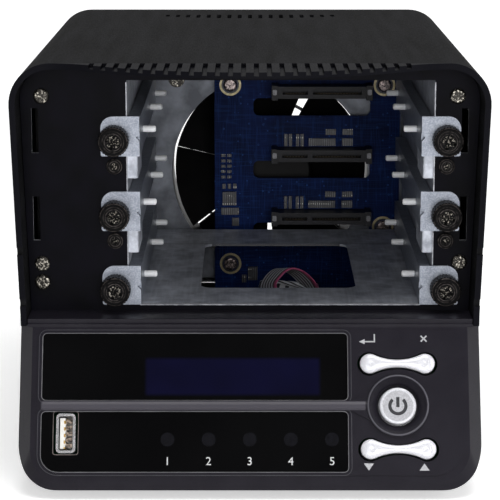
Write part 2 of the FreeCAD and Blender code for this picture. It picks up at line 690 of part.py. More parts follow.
# ---- drive cage ---------------------------------------------------------------------------------
def drive_cage():
    """Side walls, pierced floor and rail guides folded from one sheet."""
    front = FACE_Y + FACE_THICKNESS
    wall_end = BULKHEAD_Y
    floor_end = BULKHEAD_Y - CAGE_FLOOR_BEFORE_BULKHEAD
    low_x, high_x = bay_span()
    top_z = BAY_TOP_Z
    floor = box((low_x - CAGE_WALL, high_x + CAGE_WALL), (front, floor_end), (FLOOR_Z - CAGE_WALL, FLOOR_Z))
    pieces = [floor]
    for side in (-1, 1):
        face_x = BAY_X + side * BAY_HALF_WIDTH
        wall_x = sorted((face_x, face_x + side * CAGE_WALL))
        pieces.append(box(wall_x, (front, wall_end), (FLOOR_Z - CAGE_WALL, top_z)))
        flange_x = sorted((face_x + side * CAGE_WALL, face_x + side * CAGE_TOP_FLANGE))
        pieces.append(box(flange_x, (front, wall_end), (top_z - CAGE_WALL, top_z)))
        pieces.append(box(flange_x, (front, front + CAGE_WALL), (FLOOR_Z - CAGE_WALL, top_z)))
        for row in range(BAY_COUNT - 1):
            guide_top = KNOB_ZS[row] - GUIDE_BELOW_KNOB
            guide_x = sorted((face_x, face_x - side * GUIDE_REACH))
            hollow_x = sorted((face_x, face_x - side * (GUIDE_REACH - CAGE_WALL)))
            guide = box(guide_x, (front, front + GUIDE_LENGTH), (guide_top - GUIDE_HEIGHT, guide_top))
            nose = [edge for edge in guide.Edges
                    if edge.BoundBox.ZLength > CAGE_WALL and edge.BoundBox.YMax < front + CAGE_WALL
                    and abs(edge.BoundBox.XMin - face_x) > CAGE_WALL]
            guide = guide.makeFillet(GUIDE_ROUND, nose)
            hollow = box(hollow_x, (front + CAGE_WALL, front + GUIDE_LENGTH + PAST),
                         (guide_top - GUIDE_HEIGHT + CAGE_WALL, guide_top - CAGE_WALL))
            pieces.append(guide.cut(hollow))
    cage = joined(pieces)
    cut_x = [BAY_X + x for x in FLOOR_CUTOUT_FROM_BAY]
    cut_y = (FACE_Y + FLOOR_CUTOUT_FRONT_BEHIND_FACE, BULKHEAD_Y - FLOOR_CUTOUT_BEFORE_BULKHEAD)
    cut_z = (FLOOR_Z - CAGE_WALL - PAST, FLOOR_Z + PAST)
    cutters = [slot(cut_x, cut_y, cut_z, FLOOR_CUTOUT_RADIUS)]
    for place in [place for _, _, place in knob_places()] + cage_screw_places() + face_screw_places():
        cutters.append(rod(SCREW_HOLE_RADIUS, place, AXIS_Y, FACE_THICKNESS + CAGE_WALL + PAST))
    return without(cage, cutters)


def fan_hole_places(y):
    half = FAN_HOLE_SPACING / 2
    return [V(FAN_X + sx * half, y, CASE_Z + FAN_ABOVE_CASE + sz * half) for sx in (-1, 1) for sz in (-1, 1)]


def backplane_screw_places():
    return [V(BAY_X + x, BACKPLANE_Y, height_z(height)) for x, height in BACKPLANE_SCREWS]


def cage_bulkhead():
    """Upright sheet behind the bays: it carries fan and backplane and stands on two legs."""
    low_x, high_x = bay_span()
    y_span = (BULKHEAD_Y, BULKHEAD_Y + BULKHEAD_THICKNESS)
    top_z = BAY_TOP_Z
    bar_z = (MAINBOARD_TOP_Z + BOARD_PASS_HEIGHT, CASE_Z + SUPPLY_FOOT_ABOVE_CASE - PLATE_GAP)
    leg_reach = pan_half() - PAN_THICKNESS - PLATE_GAP
    pieces = [box((low_x - CAGE_WALL, high_x + CAGE_WALL), y_span, (bar_z[0], top_z)),
              box((-leg_reach, leg_reach), y_span, bar_z)]
    for side in (-1, 1):
        leg_x = sorted((side * leg_reach, side * (leg_reach - LEG_WIDTH)))
        pieces.append(box(leg_x, y_span, (PAN_TOP_Z, bar_z[1])))
        pieces.append(box(leg_x, (BULKHEAD_Y - BULKHEAD_FOOT, BULKHEAD_Y),
                          (PAN_TOP_Z, PAN_TOP_Z + BULKHEAD_THICKNESS)))
    start_y = BULKHEAD_Y - PAST
    length = BULKHEAD_THICKNESS + 2 * PAST
    fan_centre = V(FAN_X, start_y, CASE_Z + FAN_ABOVE_CASE)
    cutters = [rod(FAN_BORE_RADIUS, fan_centre, AXIS_Y, length)]
    cutters += [rod(FAN_HOLE_RADIUS, place, AXIS_Y, length) for place in fan_hole_places(start_y)]
    for place in backplane_screw_places():
        start = V(place.x, start_y, place.z)
        if (start - fan_centre).Length > FAN_BORE_RADIUS + SCREW_SHANK_RADIUS:
            cutters.append(rod(SCREW_HOLE_RADIUS, start, AXIS_Y, length))
    return without(joined(pieces), cutters)


def rail(side, row):
    """Folded drive rail: front tab under the thumbscrew, channel and three drive pins."""
    knob = V(BAY_X + side * KNOB_OFFSET_X, FACE_Y, KNOB_ZS[row])
    inner_x = BAY_X + side * RAIL_HALF_GAP
    web_x = sorted((inner_x, inner_x + side * RAIL_SHEET))
    lip_x = sorted((inner_x, BAY_X + side * (BAY_HALF_WIDTH - RAIL_SIDE_GAP)))
    low_z = knob.z - RAIL_BELOW_KNOB
    high_z = knob.z + RAIL_ABOVE_KNOB
    front = FACE_Y - RAIL_SHEET
    end = BACKPLANE_Y - RAIL_BEFORE_BACKPLANE
    web = box(web_x, (front, end), (low_z, high_z))
    lips = [box(lip_x, (FACE_Y, end), (low_z, low_z + RAIL_SHEET)),
            box(lip_x, (FACE_Y, end), (high_z - RAIL_SHEET, high_z))]
    outer_x = BAY_X + side * TAB_OUTER_OFFSET
    bottom = knob.z - TAB_BELOW_KNOB
    top = knob.z + TAB_ABOVE_KNOB
    corners = [(V(inner_x, front, bottom), 0), (V(outer_x, front, bottom), TAB_SMALL_RADIUS),
               (V(outer_x, front, top), TAB_CORNER_RADIUS), (V(inner_x, front, top), 0)]
    tab = prism(corners, V(0, RAIL_SHEET, 0))
    top_lip = box(sorted((inner_x, inner_x + side * TAB_LIP_WIDTH)), (front, front + TAB_LIP_LENGTH),
                  (top - RAIL_SHEET, top))
    lip_wall = box(web_x, (front, front + TAB_LIP_LENGTH), (high_z, top))
    pin_z = knob.z + PIN_HEIGHT_ABOVE_KNOB
    pins = [pin(side, V(inner_x, FACE_Y + depth, pin_z)) for depth in PINS_BEHIND_FACE]
    body = joined([web, tab, top_lip, lip_wall] + lips + pins)
    notch = prism([(V(inner_x - side * TAB_NOTCH, front - PAST, pin_z + 2 * TAB_NOTCH), 0),
                   (V(inner_x + side * TAB_NOTCH, front - PAST, pin_z), 0),
                   (V(inner_x - side * TAB_NOTCH, front - PAST, pin_z - 2 * TAB_NOTCH), 0)],
                  V(0, TAB_NOTCH_LENGTH + PAST, 0))
    hole = rod(SCREW_HOLE_RADIUS, knob - AXIS_Y * (RAIL_SHEET + PAST), AXIS_Y, RAIL_SHEET + 2 * PAST)
    return without(body, [notch, hole])


def pin(side, root):
    """Round-ended pin that enters the side hole of a drive."""
    length = RAIL_HALF_GAP - PIN_TIP_OFFSET
    direction = AXIS_X * -side
    shaft = rod(PIN_RADIUS, root - direction * RAIL_SHEET, direction, length + RAIL_SHEET)
    tip = [edge for edge in shaft.Edges if edge.Length > PIN_RADIUS * 3 and len(edge.Vertexes) == 1
           and abs(edge.BoundBox.Center.x - root.x) > length - 0.01]
    return shaft.makeFillet(PIN_ROUND, tip[:1])


def thumbscrew(knob):
    """Knurled head with a cross recess and a shank through the tab and the face plate."""
    seat_y = knob.y - RAIL_SHEET
    face_y = seat_y - KNOB_LENGTH
    corners = []
    for index in range(KNOB_TEETH * 2):
        angle = math.pi * index / KNOB_TEETH
        radius = KNOB_RADIUS - (KNOB_TOOTH_DEPTH if index % 2 else 0.0)
        corners.append((V(knob.x + radius * math.cos(angle), face_y, knob.z + radius * math.sin(angle)), 0))
    head = prism(corners, V(0, KNOB_LENGTH, 0))
    dome = rod(KNOB_RADIUS + KNOB_SKIN, V(knob.x, face_y, knob.z), AXIS_Y, KNOB_LENGTH)
    rims = [edge for edge in dome.Edges if len(edge.Vertexes) == 1 and edge.Length > KNOB_RADIUS * 3]
    dome = dome.makeChamfer(KNOB_CHAMFER, rims)
    head = head.common(dome)
    groove = tube(KNOB_GROOVE_RADIUS + KNOB_GROOVE_WIDTH, KNOB_GROOVE_RADIUS,
                  V(knob.x, face_y - PAST, knob.z), AXIS_Y, PAST + KNOB_GROOVE_DEPTH)
    recess = []
    for angle in (KNOB_CROSS_TURN, KNOB_CROSS_TURN + 90):
        bar = box(around(0, KNOB_CROSS_LENGTH), (-PAST, KNOB_CROSS_DEPTH), around(0, KNOB_CROSS_WIDTH))
        bar.rotate(V(0, 0, 0), AXIS_Y, angle)
        bar.translate(V(knob.x, face_y, knob.z))
        recess.append(bar)
    shank = rod(SCREW_SHANK_RADIUS, V(knob.x, seat_y, knob.z), AXIS_Y, KNOB_SHANK_LENGTH)
    return joined([without(head, recess + [groove]), shank])


# ---- backplane -----------------------------------------------------------------------------------
def backplane_board():
    x_span = [BAY_X + x for x in BACKPLANE_FROM_BAY]
    window_low, window_high = [BAY_X + x for x in BACKPLANE_WINDOW_FROM_BAY]
    board = box(x_span, (BACKPLANE_Y, BACKPLANE_Y + BOARD_THICKNESS), BACKPLANE_Z)
    cutters = []
    y = BACKPLANE_Y - PAST
    for knob_z in KNOB_ZS:
        centre_z = knob_z - BACKPLANE_WINDOW_BELOW_KNOB
        low = centre_z - BACKPLANE_WINDOW_HEIGHT / 2
        high = centre_z + BACKPLANE_WINDOW_HEIGHT / 2
        corners = [(V(window_low, y, low), BACKPLANE_WINDOW_RADIUS),
                   (V(window_high, y, low), BACKPLANE_WINDOW_RADIUS),
                   (V(window_high, y, high), BACKPLANE_WINDOW_RADIUS),
                   (V(window_low, y, high), BACKPLANE_WINDOW_RADIUS)]
        cutters.append(prism(corners, V(0, BOARD_THICKNESS + 2 * PAST, 0)))
    for place in backplane_screw_places():
        start = place - AXIS_Y * PAST
        cutters.append(rod(BOARD_HOLE_RADIUS, start, AXIS_Y, BOARD_THICKNESS + 2 * PAST))
    return without(board, cutters)


def sata_connector(row):
    """Drive receptacle: power and data slots between two locating ears."""
    z = KNOB_ZS[row] - SATA_BELOW_KNOB
    y_span = (BACKPLANE_Y - SATA_DEPTH, BACKPLANE_Y)
    body = box(around(SATA_X, SATA_WIDTH - 2 * SATA_EAR), y_span, around(z, SATA_HEIGHT))
    ear_y = (y_span[0] - SATA_EAR_REACH, y_span[1])
    ears = [box(around(SATA_X + side * (SATA_WIDTH - SATA_EAR) / 2, SATA_EAR), ear_y,
                around(z, SATA_HEIGHT + SATA_EAR_REACH)) for side in (-1, 1)]
    slot_y = (y_span[0] - PAST, y_span[0] + SATA_SLOT_DEPTH)
    gap = (SATA_WIDTH - 2 * SATA_EAR - SATA_DATA_SLOT - SATA_POWER_SLOT) / 3
    left = SATA_X - SATA_WIDTH / 2 + SATA_EAR
    data_x = (left + gap, left + gap + SATA_DATA_SLOT)
    power_x = (data_x[1] + gap, data_x[1] + gap + SATA_POWER_SLOT)
    slots = [box(x_span, slot_y, around(z, SATA_SLOT_HEIGHT)) for x_span in (data_x, power_x)]
    return without(joined([body] + ears), slots)


def backplane_parts():
    """Chips and small components soldered to the front of the backplane."""
    parts = []

    def add(x, z, width, height, thick):
        y_span = (BACKPLANE_Y - thick, BACKPLANE_Y)
        parts.append(box(around(BAY_X + x, width), y_span, around(z, height)))

    for knob_z in KNOB_ZS[1:]:
        for x, rise, width, height, thick in ROW_CHIPS:
            add(x, knob_z + rise, width, height, thick)
    for x, rise, width, height, thick in BOARD_CHIPS:
        add(x, CASE_Z + rise, width, height, thick)
    for x, rise, pitch, width, height, thick in CHIP_COLUMNS:
        for step in range(CHIP_COLUMN_COUNT):
            add(x, CASE_Z + rise + pitch * step, width, height, thick)
    return parts


def backplane_screws():
    return [cross_screw(BACKPLANE_SCREW_HEAD_RADIUS, place, AXIS_Y) for place in backplane_screw_places()]


def backplane_standoffs():
    start_y = BACKPLANE_Y + BOARD_THICKNESS
    length = BULKHEAD_Y - start_y
    return [tube(STANDOFF_RADIUS, BOARD_HOLE_RADIUS, V(place.x, start_y, place.z), AXIS_Y, length)
            for place in backplane_screw_places()]


# ---- fan -----------------------------------------------------------------------------------------
def fan_frame():
    centre = V(FAN_X, REAR_INNER_Y - FAN_THICKNESS, CASE_Z + FAN_ABOVE_CASE)
    half = FAN_SIZE / 2
    y = centre.y

    def square(thickness, start_y):
        corners = [(V(centre.x + sx * half, start_y, centre.z + sz * half), FAN_CORNER_RADIUS)
                   for sx, sz in ((-1, -1), (1, -1), (1, 1), (-1, 1))]
        return prism(corners, V(0, thickness, 0))

    rear_y = y + FAN_THICKNESS - FAN_FLANGE
    barrel = rod(FAN_BORE_RADIUS + FAN_WALL, centre, AXIS_Y, FAN_THICKNESS)
    plate_y = FAN_THICKNESS - FAN_PLATE_THICKNESS
    struts = []
    for index in range(4):
        strut = box((0, FAN_BORE_RADIUS + FAN_WALL / 2), (plate_y, FAN_THICKNESS), around(0, FAN_STRUT_WIDTH))
        strut.rotate(V(0, 0, 0), AXIS_Y, 45 + 90 * index)
        strut.translate(centre)
        struts.append(strut)
    motor_plate = rod(FAN_HUB_RADIUS, centre + AXIS_Y * plate_y, AXIS_Y, FAN_PLATE_THICKNESS)
    bearing = rod(FAN_BEARING_RADIUS, centre + AXIS_Y * FAN_BEARING_SETBACK, AXIS_Y,
                  FAN_THICKNESS - FAN_BEARING_SETBACK)
    frame = joined([square(FAN_FLANGE, y), square(FAN_FLANGE, rear_y), barrel])
    length = FAN_THICKNESS + 2 * PAST
    frame = frame.cut(rod(FAN_BORE_RADIUS, centre - AXIS_Y * PAST, AXIS_Y, length))
    frame = joined([frame, motor_plate, bearing] + struts)
    cutters = [rod(FAN_HOLE_RADIUS, place, AXIS_Y, length) for place in fan_hole_places(y - PAST)]
    cutters.append(rod(FAN_SHAFT_RADIUS + FAN_RUNNING_GAP, centre, AXIS_Y, FAN_THICKNESS - FAN_HUB_WALL))
    return without(frame, cutters)


def fan_rotor():
    """Hub cup with swept blades, carried on its own shaft."""
    centre = V(FAN_X, REAR_INNER_Y - FAN_THICKNESS, CASE_Z + FAN_ABOVE_CASE)
    hub_y = centre.y + FAN_HUB_SETBACK
    hub_length = FAN_THICKNESS - FAN_PLATE_THICKNESS - FAN_HUB_SETBACK - FAN_HUB_GAP
    cup = rod(FAN_HUB_RADIUS, V(centre.x, hub_y, centre.z), AXIS_Y, hub_length)
    rims = [edge for edge in cup.Edges if len(edge.Vertexes) == 1 and edge.BoundBox.Center.y < hub_y + 0.01]
    cup = cup.makeFillet(FAN_HUB_WALL, rims[:1])
    cup = cup.cut(rod(FAN_HUB_RADIUS - FAN_HUB_WALL, V(centre.x, hub_y + 2 * FAN_HUB_WALL, centre.z), AXIS_Y,
                      hub_length))
    shaft = rod(FAN_SHAFT_RADIUS, V(centre.x, hub_y + FAN_HUB_WALL, centre.z), AXIS_Y,
                FAN_THICKNESS - FAN_BEARING_SETBACK)
    blades = []
    tip = FAN_BORE_RADIUS - FAN_TIP_GAP
    root = FAN_HUB_RADIUS - FAN_HUB_WALL / 2
    reach = tip * math.tan(FAN_BLADE_ARC / 2)
    wedge = outline([(V(0, -tip, 0), 0), (V(reach, -tip, tip), 0), (V(-reach, -tip, tip), 0)])
    sector = wedge.extrude(AXIS_Y * (2 * tip))
    for index in range(FAN_BLADES):
        blade = box(around(0, 2 * tip), around(0, FAN_BLADE_THICKNESS), (root - PAST, tip + FAN_WALL))
        blade.rotate(V(0, 0, 0), AXIS_Z, FAN_BLADE_TILT)
        blade = blade.common(sector)
        blade.rotate(V(0, 0, 0), AXIS_Y, 360.0 * index / FAN_BLADES)
        blade.translate(V(centre.x, hub_y + hub_length / 2, centre.z))
        blades.append(blade)
    limit = tube(tip, root, V(centre.x, hub_y, centre.z), AXIS_Y, hub_length)
    blades = [blade.common(limit) for blade in blades]
    return joined([cup, shaft] + blades)


def fan_guard():
    """Round finger guard over the rear panel's fan opening: rings on a cross of two bars."""
    centre = V(FAN_X, REAR_FACE_Y, CASE_Z + FAN_ABOVE_CASE)
    half = GUARD_WIRE / 2
    pieces = [tube(radius + half, radius - half, centre, AXIS_Y, GUARD_WIRE) for radius in GUARD_RINGS]
    reach = FAN_HOLE_SPACING / math.sqrt(2)
    for angle in (45, 135):
        bar = box((-reach, reach), (0, GUARD_WIRE), (-half, half))
        bar.rotate(V(0, 0, 0), AXIS_Y, angle)
        bar.translate(centre)
        pieces.append(bar)
    pieces += [rod(GUARD_EYE_RADIUS, place, AXIS_Y, GUARD_WIRE) for place in fan_hole_places(REAR_FACE_Y)]
    holes = [rod(FAN_HOLE_RADIUS, place, AXIS_Y, GUARD_WIRE + 2 * PAST)
             for place in fan_hole_places(REAR_FACE_Y - PAST)]
    return without(joined(pieces), holes)


def fan_screws():
    """Four through the rear panel and guard, and four through the bulkhead."""
    screws = []
    for outward, y in ((AXIS_Y, REAR_FACE_Y + GUARD_WIRE), (AXIS_Y * -1, BULKHEAD_Y)):
        for place in fan_hole_places(y):
            head = rod(FAN_SCREW_HEAD_RADIUS, place, outward, FAN_SCREW_HEAD_HEIGHT)
            shank = rod(FAN_SCREW_RADIUS, place, outward * -1, FAN_SCREW_LENGTH)
            screws.append(joined([head, shank]))
    return screws


# ---- console ---------------------------------------------------------------------------------------
PANEL_TURN = FreeCAD.Rotation(AXIS_X, 90 - math.degrees(CONSOLE_SLOPE))
PANEL_ORIGIN = V(0, FACE_Y - CONSOLE_TOP_REACH, CASE_Z + CONSOLE_TOP_ABOVE_CASE)
PANEL_PLACE = FreeCAD.Placement(PANEL_ORIGIN, PANEL_TURN)
FIELD_W = FIELD_RAISE
CAVITY_W = -CONSOLE_WALL
BOARD_W = -BOARD_BACK


def on_panel(shape):
    """Move a shape from panel coordinates (x, up the slope, outwards) onto the console."""
    moved = shape.copy()
    moved.Placement = PANEL_PLACE.multiply(moved.Placement)
    return moved


def down(span):
    """Span along the slope, given as distances down from the panel's top edge."""
    return (-span[1], -span[0])


def panel_rect(x_span, down_span, w, radii):
    """Rounded rectangle on the panel; radii go bottom left, bottom right, top right, top left."""
    low, high = down(down_span)
    places = [V(x_span[0], low, w), V(x_span[1], low, w), V(x_span[1], high, w), V(x_span[0], high, w)]
    return list(zip(places, radii))


def panel_prism(x_span, down_span, w_span, radii):
    return prism(panel_rect(x_span, down_span, w_span[0], radii), V(0, 0, w_span[1] - w_span[0]))


def console_form(inset):
    """Bevelled console body drawn in from its outer skin by the inset."""
    half = CONSOLE_HALF - inset
    face_half = CONSOLE_HALF - BEVEL_WIDTH - inset
    slope_y = math.sin(CONSOLE_SLOPE)
    slope_z = math.cos(CONSOLE_SLOPE)
    top = V(0, PANEL_ORIGIN.y + inset / slope_z, PANEL_ORIGIN.z)
    shift = -inset
    knee = V(0, PANEL_ORIGIN.y - PANEL_LENGTH * slope_y + inset, PANEL_ORIGIN.z - PANEL_LENGTH * slope_z)
    toe = V(0, knee.y - SKIRT_FORWARD, CASE_Z)
    rear_y = FACE_Y - (0 if inset else SEAM_GAP / 2)
    top_z = PANEL_ORIGIN.z - inset
    top_y = top.y - inset * slope_y / slope_z
    toe_z = CASE_Z + inset
    side = [V(-BIG, top_y, top_z), V(-BIG, knee.y, knee.z), V(-BIG, toe.y, toe_z),
            V(-BIG, rear_y + inset, toe_z), V(-BIG, rear_y + inset, top_z)]
    profile = prism([(point, 0) for point in side], V(2 * BIG, 0, 0))
    radius = max(CONSOLE_CORNER_RADIUS - inset, 1.0)
    y = FRONT_Y - BIG / 4
    front = prism([(V(-half, y, toe_z), radius), (V(half, y, toe_z), radius),
                   (V(half, y, TOP_Z), 0), (V(-half, y, TOP_Z), 0)], V(0, BIG, 0))
    drop = BEVEL_DEPTH / math.tan(CONSOLE_SLOPE)
    above = -CONSOLE_TOP_REACH
    near = panel_rect((-face_half, face_half), (above, PANEL_LENGTH - inset), shift,
                      (BEVEL_CORNER_RADIUS, BEVEL_CORNER_RADIUS, 0, 0))
    far = panel_rect((-half, half), (above, PANEL_LENGTH - inset + drop), shift - BEVEL_DEPTH,
                     (BEVEL_CORNER_RADIUS + BEVEL_WIDTH, BEVEL_CORNER_RADIUS + BEVEL_WIDTH, 0, 0))
    wedge = Part.makeLoft([outline(near).OuterWire, outline(far).OuterWire], True, True)
    rest = prism(far, V(0, 0, -BIG))
    bevel = on_panel(joined([wedge, rest]))
    return profile.common(front).common(bevel)


def rocker_outline(grow):
    """Dog-bone outline about the origin: two round lobes and a slim waist."""
    lobe = ROCKER_LOBE_RADIUS + grow
    waist = ROCKER_WAIST / 2 + grow
    span = ROCKER_HALF_SPAN
    hollow = (span ** 2 + waist ** 2 - lobe ** 2) / (2 * (lobe - waist))
    centre_v = hollow + waist
    share = hollow / (hollow + lobe)
    touch = V(span * share, centre_v * (1 - share), 0)
    corners = [V(sx * touch.x, sv * touch.y, 0) for sx, sv in ((-1, 1), (1, 1), (1, -1), (-1, -1))]
    edges = [Part.Arc(corners[0], V(0, waist, 0), corners[1]).toShape(),
             Part.Arc(corners[1], V(span + lobe, 0, 0), corners[2]).toShape(),
             Part.Arc(corners[2], V(0, -waist, 0), corners[3]).toShape(),
             Part.Arc(corners[3], V(-span - lobe, 0, 0), corners[0]).toShape()]
    return Part.Face(Part.Wire(edges))


def rocker_prism(down_place, w_span, grow):
    shape = rocker_outline(grow).extrude(V(0, 0, w_span[1] - w_span[0]))
    shape.translate(V(BUTTON_X, -down_place, w_span[0]))
    return shape


def rib_prism():
    """Divider rib that runs from the windows' left edge into the power ring, with a flared end."""
    low, high = down((DISPLAY_BOTTOM, STATUS_TOP))
    middle = (low + high) / 2
    ring_x = BUTTON_X - RING_RADIUS
    flare_x = ring_x - RIB_FLARE_LENGTH
    join_x = ring_x + RING_WIDTH + BUTTON_GAP
    points = [V(WINDOW_LEFT, low, 0), V(flare_x, low, 0), V(join_x, low - RIB_FLARE, 0),
              V(join_x, high + RIB_FLARE, 0), V(flare_x, high, 0), V(WINDOW_LEFT, high, 0)]
    radii = (RIB_MARGIN, RIB_FLARE, 0, 0, RIB_FLARE, RIB_MARGIN)
    base = prism(list(zip(points, radii)), V(0, 0, FIELD_W + RIB_CROWN))
    crown_x = WINDOW_LEFT + RIB_MARGIN
    crown = [(V(crown_x, low + RIB_MARGIN, FIELD_W + RIB_CROWN), 0),
             (V(crown_x, high - RIB_MARGIN, FIELD_W + RIB_CROWN), 0),
             (V(crown_x, middle + RIB_CREST_ABOVE, FIELD_W + RIB_HEIGHT), 0),
             (V(crown_x, middle - RIB_CREST_BELOW, FIELD_W + RIB_HEIGHT), 0)]
    return [base, prism(crown, V(ring_x - WINDOW_LEFT, 0, 0))]


def console_bezel():
    skin = console_form(0)
    cavity = console_form(CONSOLE_WALL)
    root_w = -CONSOLE_WALL / 2
    half = CONSOLE_HALF - FIELD_MARGIN
    field = panel_prism((-half, half), (FIELD_TOP, FIELD_BOTTOM), (root_w, FIELD_W),
                        (FIELD_RADIUS, FIELD_RADIUS, FIELD_TOP_RADIUS, FIELD_TOP_RADIUS))
    centre = V(BUTTON_X, -BUTTON_DOWN, 0)
    ring = rod(RING_RADIUS, centre + AXIS_Z * root_w, AXIS_Z, FIELD_W + RING_HEIGHT - root_w)
    crest = [edge for edge in ring.Edges if len(edge.Vertexes) == 1 and edge.BoundBox.Center.z > FIELD_W]
    ring = ring.makeFillet(RING_ROUND, crest[:1])
    cup_depth = WELL_DEPTH + WELL_FLOOR
    cup = rod(WELL_RADIUS + WELL_WALL, centre - AXIS_Z * cup_depth, AXIS_Z, cup_depth)
    post_length = BOARD_BACK + root_w
    posts = [rod(POST_RADIUS, V(x, -place, BOARD_W), AXIS_Z, post_length) for x, place in post_places()]
    lugs = []
    holes = []
    for place in ROCKER_DOWNS:
        for side in (-1, 1):
            v = -place + side * (PIVOT_REACH - LUG_WIDTH / 2)
            lugs.append(box(around(BUTTON_X, 2 * LUG_HALF), around(v, LUG_WIDTH),
                            (-PIVOT_DEPTH - LUG_HALF, root_w)))
        hole_start = V(BUTTON_X, -place - PIVOT_REACH - PAST, -PIVOT_DEPTH)
        holes.append(rod(PIVOT_RADIUS + PIVOT_FIT, hole_start, AXIS_Y, 2 * (PIVOT_REACH + PAST)))
    added = [field, ring, cup] + rib_prism() + posts + lugs
    body = joined([skin.cut(cavity)] + [on_panel(shape) for shape in added])
    cutters = []
    window_x = (WINDOW_LEFT, WINDOW_RIGHT)
    crown_w = FIELD_W + RING_HEIGHT + PAST
    window_w = (-WINDOW_THICKNESS, crown_w)
    cutters.append(panel_prism(window_x, (DISPLAY_TOP, DISPLAY_BOTTOM), window_w, (WINDOW_RADIUS,) * 4))
    cutters.append(panel_prism(window_x, (STATUS_TOP, STATUS_BOTTOM), window_w,
                               (STATUS_CORNER_RADIUS, WINDOW_RADIUS, WINDOW_RADIUS, WINDOW_RADIUS)))
    cutters.append(panel_prism(LCD_X, LCD_DOWN, (-2 * CONSOLE_WALL, 0), (0,) * 4))
    cutters.append(usb_recess())
    for x in led_xs():
        cutters.append(rod(LED_RADIUS + LED_HOLE_GAP, V(x, -LED_DOWN, -2 * CONSOLE_WALL), AXIS_Z,
                           2 * CONSOLE_WALL))
    cutters.append(rod(WELL_RADIUS, centre - AXIS_Z * WELL_DEPTH, AXIS_Z, WELL_DEPTH + crown_w))
    dish_low = V(centre.x, centre.y, -DISH_DEPTH)
    dish_rise = DISH_DEPTH + FIELD_W + RING_HEIGHT
    cutters.append(Part.makeCone(WELL_RADIUS, RING_RADIUS - RING_WIDTH, dish_rise, dish_low, AXIS_Z))
    cutters.append(rod(BUTTON_RADIUS + BUTTON_GAP, centre - AXIS_Z * (cup_depth + PAST), AXIS_Z,
                       cup_depth + 2 * PAST))
    for place in ROCKER_DOWNS:
        cutters.append(rocker_prism(place, (-2 * CONSOLE_WALL, crown_w), ROCKER_GAP))
    cutters += holes
    return without(body, [on_panel(cutter) for cutter in cutters])


def post_places():
    return [((x - CONSOLE_HALF) if x > 0 else (x + CONSOLE_HALF), place) for x, place in POSTS]


def usb_recess():
    w_span = (-2 * CONSOLE_WALL, PAST)
    across, down = around(USB_X, USB_RECESS[0]), around(USB_DOWN, USB_RECESS[1])
    return panel_prism(across, down, w_span, (USB_CORNER,) * 4)


def led_xs():
    centre_x = WINDOW_RIGHT - LED_FROM_WINDOW_RIGHT
    return [centre_x + (index - (LED_COUNT - 1) / 2) * LED_PITCH for index in range(LED_COUNT)]


def display_window():
    gap = WINDOW_SIDE_GAP
    x_span = (WINDOW_LEFT + gap, WINDOW_RIGHT - gap)
    sheet = panel_prism(x_span, (DISPLAY_TOP + gap, DISPLAY_BOTTOM - gap), (-WINDOW_THICKNESS, 0),
                        (WINDOW_RADIUS - gap,) * 4)
    return on_panel(sheet)


def status_window():
    gap = WINDOW_SIDE_GAP
    x_span = (WINDOW_LEFT + gap, WINDOW_RIGHT - gap)
    small = WINDOW_RADIUS - gap
    sheet = panel_prism(x_span, (STATUS_TOP + gap, STATUS_BOTTOM - gap), (-WINDOW_THICKNESS, 0),
                        (STATUS_CORNER_RADIUS - gap, small, small, small))
    return on_panel(without(sheet, [usb_recess()]))


def shelf_trim():
    """Ledge between the bay plate and the console, stepped along its front edge."""
    half = side_x(WAIST_Z, SHELL_WALL) - PLATE_GAP
    top = CASE_Z + SHELF_ABOVE_CASE
    low = CASE_Z + CONSOLE_TOP_ABOVE_CASE
    front = FACE_Y - CONSOLE_TOP_REACH
    points = [(V(-half, FACE_Y, low), 0), (V(-half, front, low), 0),
              (V(-half, front, low + SHELF_LIP), SHELF_ROUND),
              (V(-half, front + SHELF_LEDGE, top - SHELF_STEP), 0),
              (V(-half, front + SHELF_LEDGE, top), SHELF_ROUND), (V(-half, FACE_Y, top), 0)]
    return prism(points, V(2 * half, 0, 0))


def display_module():
    """Character display in a metal frame on its own small board."""
    frame_x = (LCD_X[0] - LCD_FRAME_MARGIN, LCD_X[1] + LCD_FRAME_MARGIN)
    frame_down = (LCD_DOWN[0] - LCD_FRAME_MARGIN, LCD_DOWN[1] + LCD_FRAME_MARGIN)
    board_x = (LCD_X[0] - LCD_BOARD_MARGIN, LCD_X[1] + LCD_BOARD_MARGIN)
    board_down = (LCD_DOWN[0] - LCD_BOARD_MARGIN, LCD_DOWN[1] + LCD_BOARD_MARGIN)
    back = CAVITY_W - LCD_FRAME_DEPTH
    frame = panel_prism(frame_x, frame_down, (back, CAVITY_W), (WINDOW_RADIUS,) * 4)
    board = panel_prism(board_x, board_down, (back - BOARD_THICKNESS, back), (0,) * 4)
    header_wide, header_tall = LCD_HEADER
    header = panel_prism(around((LCD_X[0] + LCD_X[1]) / 2, header_wide),
                         (board_down[0], board_down[0] + header_tall), (BOARD_W, back), (0,) * 4)
    return on_panel(joined([frame, board, header]))


def led_light_pipes():
    return [on_panel(rod(LED_RADIUS, V(x, -LED_DOWN, BOARD_W), AXIS_Z, BOARD_BACK - WINDOW_THICKNESS))
            for x in led_xs()]


def control_board():
    left, right = CONTROL_BOARD_MARGINS
    x_span = (left - CONSOLE_HALF, CONSOLE_HALF - right)
    return on_panel(panel_prism(x_span, CONTROL_BOARD_DOWN, (BOARD_W - BOARD_THICKNESS, BOARD_W),
                                (WINDOW_RADIUS,) * 4))


def switch_places():
    places = [(BUTTON_X, BUTTON_DOWN)]
    for place in ROCKER_DOWNS:
        places += [(BUTTON_X + side * ROCKER_HALF_SPAN, place) for side in (-1, 1)]
    return places


def switch_top(x):
    """Plunger height: it clears the piece above by that piece's own travel."""
    if x == BUTTON_X:
        return button_back() - BUTTON_TRAVEL - SWITCH_REST_GAP
    return rocker_nub() - ROCKER_HALF_SPAN * math.sin(ROCKER_TRAVEL) - SWITCH_REST_GAP


